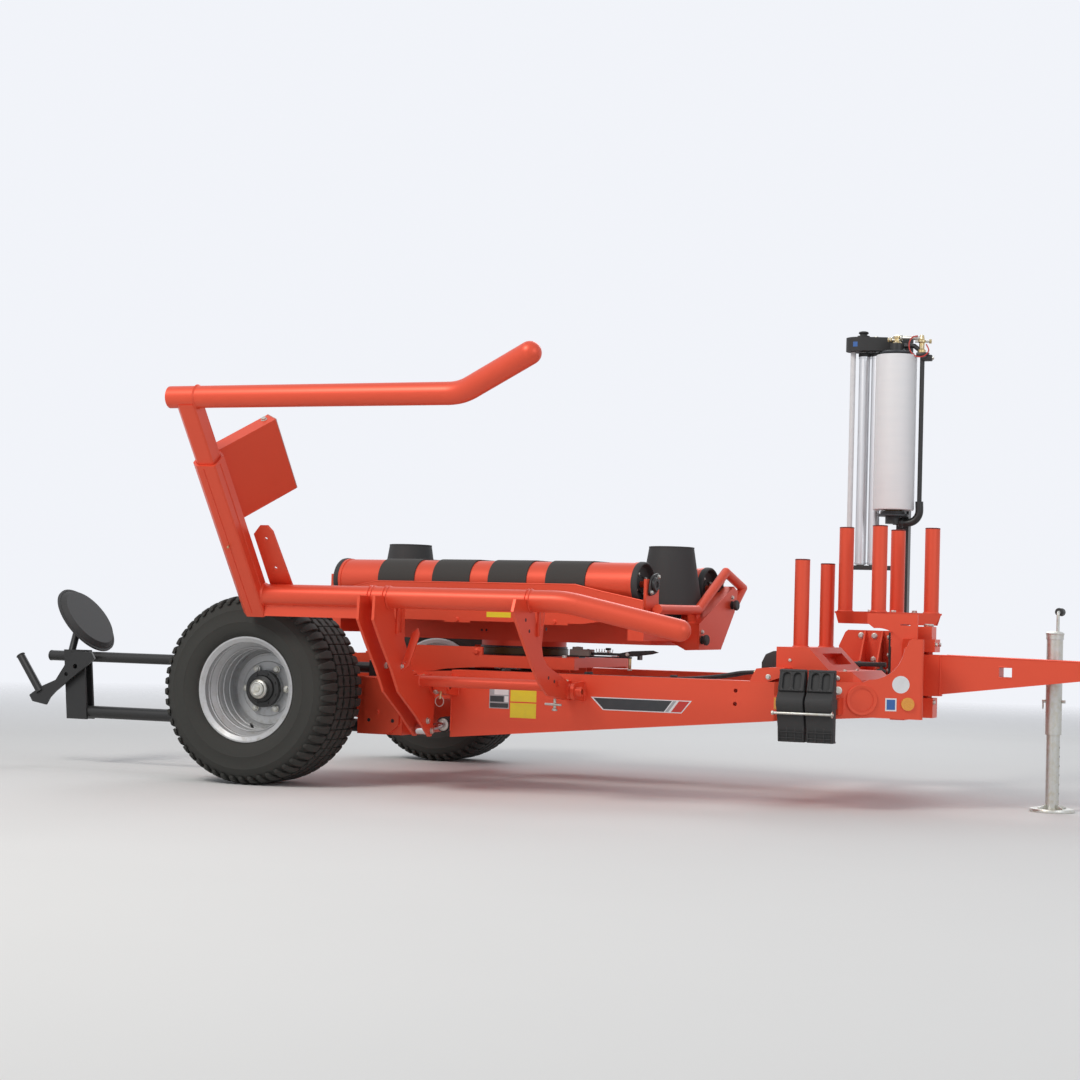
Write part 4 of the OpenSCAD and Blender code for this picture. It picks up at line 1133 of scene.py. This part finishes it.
class WRAPPER_OT_front(bpy.types.Operator):
    """Bolts, caps and fittings of the nose, the console and the roll shelf"""

    bl_idname = "wrapper.front"
    bl_label = "Front fittings"

    def execute(self, context):
        size = context.scene.wrapper_sizes.bolt_size
        nose = Piece("nose_bolts", NOSE)
        nose.bolts([(272, 0, z) for z in (452, 506)], NEAR, 15.5)
        nose.bolts([(272, 14, z) for z in (452, 506)], FAR, size, nut=True)
        boss = [(50, 7.6), (53.2, 7.6), (60, 9.6), (64, 9.6), (66.4, 7), (66.4, 5), (60, 4), (50, 3.4)]
        nose.ring(boss, 96, RED, on((374, 0, 469), NEAR))
        nose.done("chassis")

        front = Piece("front_fittings")
        tubes = [
            (2835, -85, 1230), (2640, 110, 1230), (2445, -85, 1230), (2640, -280, 1230), (2330, -430, 1070),
            (2350, -40, 1065),
        ]
        cap = [(0, 2.5), (30, 2.5), (33, 0.8), (33.5, -0.5), (33.5, -3), (33.05, -3), (33.05, 0.1), (0, 0.1)]
        for tube in tubes:
            front.knob(cap, 64, "dark_cap", move(*tube))
        for x, y, z in tubes:
            foot = 850 if z > 1100 else 685
            front.ring([(32.8, foot), (38, foot), (36, foot + 4), (32.8, foot + 6)], 64, RED, move(x, y, 0))
        for x, y in ((2640, -230), (2560, -85), (2760, -85), (2640, 40)):
            front.bolts([(x, y, 850)], UP, size)
            front.bolts([(x, y, 842)], DOWN, size, nut=True)
        # The console's plugs and the lid's bolts
        front.bolts([(2330, -610, 628)], NEAR, 8, washer=False)
        front.bolts([(2560, -560, 587), (2560, -330, 587)], UP, 9)
        front.bolts([(2271, -746, 556), (2540, -610, 557)], NEAR, 10)
        # Control valve behind the console
        valve = [(2265, 520.5), (2265, 664), (2204, 664), (2168, 648), (2151, 612), (2150, 520.5)]
        front.add(plate(valve, 240, edge=5), PLASTIC, move(0, -180, 0) @ turn(90, "X"))
        for y in (-380, -300, -220):
            front.rod((2150, y, 566), BACK, 11, 18, 6)
            front.rod((2134, y, 566), BACK, 9, 26, 24, 1.5, BRASS)
            lane = (y + 300) * 0.28
            run = [
                (2112, y, 566), (2040, y, 560), (1940, y - 60, 540), (1800, -560 + (y + 300) * 0.3, 528),
                (1500, lane - 590, 526), (1100, lane - 592, 524), (700, lane - 560, 508), (600, lane - 500, 474),
                (566, lane - 500, 470),
            ]
            front.hose(run, 9)
            front.rod((559, lane - 500, 470), AHEAD, 13, 14, 6)
        for x in (1800, 1400, 1000):
            front.box((x - 12, -650, 500), (x + 12, -540, 508))
            front.box((x - 8, -630, 506), (x + 8, -550, 545), 5, PLASTIC)
        # The dispenser's lever and its knob
        front.box((2300, 498, 594), (2512, 518, 616), 3, BLACK)
        front.box((2372, 514, 590), (2386, 528, 620), 2, BLACK)
        knob = [(0, 0), (8, 0), (8, 12), (20, 16), (24, 26), (20, 38), (10, 44), (0, 45)]
        front.knob(knob, 40, PLASTIC, on((2490, 506, 597), (0, -0.2, -1)))
        front.bolts([(2320, 498, 605)], NEAR, 9)
        front.bolts([(2350, 680, 742), (2415, 680, 741), (2411, 680, 626)], NEAR, size)
        front.bolts([(2270, 545, 547), (2480, 545, 547)], UP, size)
        for x in (2372, 2457):
            front.weld((x, 526, 548), (x, 678, 548), 5)
        # The post's pin, ear and washers
        pin = [(0, 789), (20, 789), (22, 792), (22, 799), (19, 802), (0, 802)]
        front.knob(pin, 40, place=move(2850, -210, 0))
        front.bolts([(2884, -250, 460)], AHEAD, 10)
        front.bolts([(2890, -255, 712), (2890, -165, 712)], AHEAD, 9)
        front.bolts([(2778, y, z) for z in (440, 640, 760) for y in (-318, -102)], AHEAD, 9, RED)
        front.weld((2779, -345, 400), (2779, -345, 730), 4.5)
        front.weld((2714, -347, 700), (2714, -347, 838), 3.5)
        front.done("chassis")
        return {"FINISHED"}


class WRAPPER_OT_chassis(bpy.types.Operator):
    """Pins, pegs, welds and lids along the chassis"""

    bl_idname = "wrapper.chassis"
    bl_label = "Chassis fittings"

    def execute(self, context):
        size = context.scene.wrapper_sizes.bolt_size
        chassis = Piece("chassis_fittings")
        # Ends of the arm's pivot pins
        pin_end = [(13, -2), (20, -2), (21.5, 0), (21.5, 7), (20, 9), (13, 9)]
        for x, way in ((1462, AHEAD), (1350, BACK), (835, AHEAD), (575, BACK)):
            chassis.ring(pin_end, 48, RED, on((x, *PIVOT), way))
            chassis.rod((x, *PIVOT), way, 13.2, 1, 32, 0, HOSE)
        # The rear pin's lock, with its ring
        chassis.bolts([(786, -885, 440)], (0, -1, -0.6), 12)
        chassis.rod((808, -884, 440), (0, -0.2, -1), 6, 34, 20, finish=BRASS)
        chassis.add(pipe(loop_of(30, (806, -890, 396), (20, 0), 22), 2, 8))
        # The locking peg under the front pivot
        chassis.box((1344, -892, 430), (1362, -868, 448), 2, RED)
        chassis.rod((1352, -880, 380), UP, 7, 56, 24, 1.5)
        chassis.rod((1308, -886, 405), (1, 0, -0.02), 5.5, 78, 24, 1.5)
        chassis.knob([(0, 0), (11, 0), (13, 3), (13, 8), (9, 11), (0, 11)], 32, place=move(1352, -880, 376))
        # Stops on the beam, and the beam's welds
        for x in (837, 1358, 1442):
            chassis.weld((x, -751, 425), (x, -751, 500), 4)
        for x in (397, 517):
            chassis.rod((x, -757, 292), NEAR, 8.8, 1.2, 32, 0, HOSE)
        chassis.weld((374, -762.4, 486), (546, -762.4, 486), 3.5)
        chassis.bolts([(440, -762, 330)], NEAR, 10, RED)
        stub = [(15.2, 0), (30, 0), (32, 2), (32, 6), (15.2, 6)]
        for s in (-1, 1):
            chassis.weld((562, s * 652, 300), (562, s * 652, 480), 4)
            chassis.weld((802, s * 751, 520), (802, s * 751, 260), 3.5)
            chassis.bolts([(110, s * 752, 430), (200, s * 752, 430)], (0, s, 0), size, nut=True)
            chassis.ring(stub, 40, RED, on((150, s * 430, 560), (0, -s, 0)))
            chassis.rod((150, s * 445, 592), UP, 5, 10, 12, finish=BRASS)
        for x, way in ((663, BACK), (761, AHEAD)):
            chassis.ring([(14.5, 0), (24, 0), (24, 5), (14.5, 5)], 32, place=on((x, -225, 300), way))
        for s in (-1, 1):
            chassis.rod((620, s * 56, 300), (0, s, 0), 22, 5, 32)
        chassis.done("chassis")
        return {"FINISHED"}


class WRAPPER_OT_arm(bpy.types.Operator):
    """Welds, bolts and pins of the loading arm"""

    bl_idname = "wrapper.arm"
    bl_label = "Loading arm fittings"

    def execute(self, context):
        arm = Piece("arm_fittings", finish=RED)
        for x in (668, 684, 740, 756, 1392, 1408):
            arm.ring([(45.6, -4), (51, -1), (51, 1), (45.6, 4)], 72, place=on((x, -1330, 848), AHEAD))
        for x in range(190, 660, 70):
            arm.weld((x, -1337, 803), (x + 38, -1337, 803), 3.4)
            arm.weld((x + 20, -1323, 803), (x + 58, -1323, 803), 3.4)
        for x, y, z in ((754, -1182, 552), (754, -899, 308), (754, -853, 262), (682, -1196, 553)):
            arm.bolts([(x, y, z)], AHEAD, 13)
            arm.bolts([(x - 12, y, z)], BACK, 13, nut=True)
        for y, z in ((-1387, 768), (-1343, 722), (-1150, 732), (-1105, 525), (-1036, 509)):
            arm.rod((1406, y, z), AHEAD, 7.5, 0.9, edge=0, finish=HOSE)
        arm.bolts([(1406, -1000, 500)], AHEAD, 14, RED)
        for x, way in ((754, AHEAD), (1394, BACK)):
            arm.ring([(23.6, 0), (29, 0), (26, 4), (23.6, 5)], place=on((x, -980, 487), way))
        # Stop plate between the rear plates, and the windows' tongues
        stop = [(753, 552), (800, 700), (826, 720), (835, 690), (790, 560), (753, 530)]
        arm.add(plate(stop, 10, [(772, 572, 7)], 1.5), place=move(0, -1180, 0) @ turn(90, "X"))
        arm.box((753, -1262, 692), (765, -1238, 852), 3)
        arm.box((1405, -1262, 700), (1417, -1240, 852), 3)
        for x, way in ((664, BACK), (760, AHEAD), (1384, BACK), (1416, AHEAD)):
            arm.ring([(20.2, 0), (33, 0), (33, 4), (30, 6), (20.2, 6)], place=on((x, *PIVOT), way))
        for x in (712, 1400):
            arm.rod((x, -860, 497), UP, 5, 16, 12, finish=BRASS)
        arm.done("arm")

        mast = Piece("mast_fittings", ARM, RED)
        mast.weld((94, -59.5, -60), (94, -59.5, 690), 2.2)
        mast.weld((153.5, -15, 40), (153.5, -15, 690), 2.2)
        mast.ring([(45.6, 0), (52, 0), (47, 7), (45.6, 8)], 72, place=on((152.6, 0, 0), AHEAD))
        mast.rod((94, -59, 300), NEAR, 5, 14, 12, finish=BRASS)
        # Folded rims of the stop panel and its lower plate, a pale pink strip that is a painted highlight along the
        # panel's outer edge
        panel = move(89, 82, 360) @ turn(57, "Z")
        mast.add(pipe([(2, -32, 0), (286.8, -32, 0), (287.2, 32, 0), (2, 32, 0)], 4), place=panel)
        # Painted highlight: a pale pink strip along the stop panel's outer edge
        mast.box((289, -36, -2), (294, 36, 352), 2, "pale_edge", panel)
        mast.bolt(panel @ move(258, 10, 350), 12)
        mast.done("arm")

        top = Piece("mast_extension_fittings", ARM, RED)
        top.ring([(45.6, -4), (52, 0), (47, 6), (45.6, 7)], 72, place=on((142.5, 0, 1007), AHEAD))
        top.done("mast_extension")
        return {"FINISHED"}


def barrel_axes(foot, eye):
    """Axes whose z runs from a cylinder's foot to its rod's eye."""
    return MACHINE @ on(foot, Vector(eye) - Vector(foot))


class WRAPPER_OT_cylinders(bpy.types.Operator):
    """Glands, ports and hose tails of the two cylinders"""

    bl_idname = "wrapper.cylinders"
    bl_label = "Cylinders"

    def execute(self, context):
        tilt = Piece("tilt_barrel_fittings", barrel_axes((620, 0, 300), (1150, 0, 500)))
        for z in (60, 470):
            tilt.box((-16, 30, z - 16), (16, 60, z + 16), 4, BLACK)
            tilt.rod((0, 58, z), FAR, 11, 18, 6)
            tilt.rod((0, 74, z), FAR, 9, 30, 24, 1.5)
            tilt.ring([(37.5, z - 6), (40.5, z - 4), (40.5, z + 4), (37.5, z + 6)], 64, BLACK)
        tilt.ring([(20.3, 505), (30, 505), (33, 508), (33, 517), (26, 521), (20.3, 521)])
        tilt.done("tilt_barrel")

        lift = Piece("arm_barrel_fittings", barrel_axes((712, -225, 300), (712, -860, 268)))
        for z in (52, 372):
            lift.ring([(31.5, z - 5), (34, z - 4), (34, z + 4), (31.5, z + 5)], 64, BLACK)
            lift.rod((32, 0, z), AHEAD, 10, 16, 6)
            lift.rod((46, 0, z), AHEAD, 8, 26, 24, 1.5)
        lift.ring([(16.3, 400), (26, 400), (28, 403), (28, 410), (22, 413), (16.3, 413)])
        lift.done("arm_barrel")
        return {"FINISHED"}


class WRAPPER_OT_drawbar(bpy.types.Operator):
    """Welds, hitch bolts and the jack's crank"""

    bl_idname = "wrapper.drawbar"
    bl_label = "Drawbar and jack"

    def execute(self, context):
        bar = Piece("drawbar_fittings")
        bar.box((2826, -289, 483), (2838, -131, 671), 2, RED)
        bar.weld((2916, -275.5, 488), (2916, -275.5, 664), 3.5)
        for y in (-275, -145):
            bar.weld((2920, y, 666.9), (3540, y, 656.4), 2.6)
            bar.weld((3562, y, 584), (3562, y, 652), 3.5)
        for x in (3585, 3606):
            for z in (596, 626):
                for s in (-1, 1):
                    bar.bolts([(x, -210 + s * 65, z)], (0, s, 0), 10, nut=True)
        for x in (3640, 3700):
            bar.bolts([(x, -210, 625)], UP, 14)
            bar.bolts([(x, -210, 595)], DOWN, 14, nut=True)
        # The eye's worn faces, the lower a mirror of the upper
        face = [(25.2, 625), (50, 625), (53, 622)]
        outer = [(54.5, 622), (52, 626), (25.2, 626)]
        low_face = [(r, 1220 - z) for r, z in reversed(face)]
        low_outer = [(r, 1220 - z) for r, z in reversed(outer)]
        bar.ring(face + low_face + low_outer + outer, 72, place=move(3850, -210, 0))
        for z in (577, 625):
            bar.box((3168, -276.5, z - 3), (3227, -143.5, z + 3), finish=RED)
        # The jack's head, crank and pin
        head = [(0, 768), (36, 768), (40, 772), (40, 778), (30, 784), (12, 786), (0, 786)]
        bar.knob(head, 48, place=move(*JACK, 0))
        bar.rod((3380, -52, 752), FAR, 10, 40, 24, 1.5)
        crank = [(3380, -18, 752), (3380, -8, 754), (3380, -2, 772), (3380, -2, 850), (3380, 4, 866), (3380, 22, 872)]
        bar.hose(crank, 7, 16, ZINC, 6)
        grip = [(0, 0), (15, 0), (18, 5), (16, 40), (18, 88), (14, 96), (0, 97)]
        bar.knob(grip, 40, PLASTIC, on((3380, 20, 872), FAR))
        bar.box((3344, -140, 590), (3416, -122, 640), 3)
        bar.bolts([(3356, -145, 615), (3404, -145, 615)], FAR, 10)
        for x in (3330, 3414):
            bar.rod((x, -90, 480), AHEAD, 7, 16, 24, 1.5)
        bar.add(pipe(loop_of(24, (3334, -90, 464), (0, 16), 18), 1.8, 8))
        bar.done("drawbar")

        foot = Piece("jack_foot", MACHINE @ move(*JACK, 0))
        dish = [
            (29.2, 12), (60, 12.2), (84, 16), (94, 14), (97, 7), (96.5, 0.4), (93, 0.2), (90, 11.4), (29.2, 11.6),
        ]
        foot.ring(dish, 72)
        for i in range(4):
            rib = plate([(29, 12), (78, 14), (74, 20), (29, 34)], 5, edge=1)
            foot.add(rib, place=turn(90 * i + 45, "Z") @ turn(90, "X") @ move(0, 0, -2.5))
        for z in range(80, 320, 40):
            foot.rod((28, 0, z), AHEAD, 4.5, 1.2, 20, 0, HOSE)
        foot.done("jack")
        return {"FINISHED"}


class WRAPPER_OT_tipper(bpy.types.Operator):
    """Bolts, welds and the end plug of the rear tipping frame"""

    bl_idname = "wrapper.tipper"
    bl_label = "Tipping frame"

    def execute(self, context):
        rear = Piece("tipper_fittings", finish=BLACK)
        for x in (-1330, -1215):
            rear.ring([(24.8, 0), (30, 0), (27, 5), (24.8, 6)], place=on((x, -620, 528), AHEAD))
        rear.rod((-1420, -620, 528), BACK, 26, 8, 40, 2)
        rear.rod((-1220, -620, 258), BACK, 31, 6, 40, 2)
        plug = [(0, 0), (20, 0), (23, 4), (20, 8), (0, 9)]
        rear.knob(plug, 32, HOSE, on((-1560, -684, 520), (-0.58, 0, 0.82)))
        rear.box((340, -660, 556), (388, -580, 562), 2)
        rear.bolts([(350, -645, 560), (378, -595, 560)], UP, 10)
        rear.done("chassis")

        disc = Piece("disc_fittings", MACHINE @ move(-1266, -552, 714) @ turn(53, "Y"), PLASTIC)
        disc.ring([(170, -18), (185.5, -18.6), (186, -10), (176, -8)], 96)
        disc.done("disc")
        return {"FINISHED"}


OPERATORS = (
    WRAPPER_OT_camera,
    WRAPPER_OT_stage,
    WRAPPER_OT_finishes,
    WRAPPER_OT_tyres,
    WRAPPER_OT_hubs,
    WRAPPER_OT_film,
    WRAPPER_OT_belts,
    WRAPPER_OT_chocks,
    WRAPPER_OT_markings,
    WRAPPER_OT_rollers,
    WRAPPER_OT_table,
    WRAPPER_OT_drive,
    WRAPPER_OT_head,
    WRAPPER_OT_front,
    WRAPPER_OT_chassis,
    WRAPPER_OT_arm,
    WRAPPER_OT_cylinders,
    WRAPPER_OT_drawbar,
    WRAPPER_OT_tipper,
)


class WRAPPER_PT_panel(bpy.types.Panel):
    """The wrapper's pieces, sizes and colours"""

    bl_label = "Bale wrapper"
    bl_idname = "WRAPPER_PT_panel"
    bl_space_type = "VIEW_3D"
    bl_region_type = "UI"
    bl_category = "Wrapper"

    def draw(self, context):
        for group in (context.scene.wrapper_sizes, context.scene.wrapper_colours):
            for key in group.__annotations__:
                self.layout.prop(group, key)
        for operator in OPERATORS:
            self.layout.operator(operator.bl_idname)


CLASSES = (WrapperSizes, WrapperColours, *OPERATORS, WRAPPER_PT_panel)


def register():
    for cls in CLASSES:
        bpy.utils.register_class(cls)
    bpy.types.Scene.wrapper_sizes = bpy.props.PointerProperty(type=WrapperSizes)
    bpy.types.Scene.wrapper_colours = bpy.props.PointerProperty(type=WrapperColours)


def unregister():
    del bpy.types.Scene.wrapper_colours
    del bpy.types.Scene.wrapper_sizes
    for cls in reversed(CLASSES):
        bpy.utils.unregister_class(cls)


def main():
    register()
    for operator in OPERATORS:
        group, name = operator.bl_idname.split(".")
        getattr(getattr(bpy.ops, group), name)()


if __name__ == "__main__":
    main()
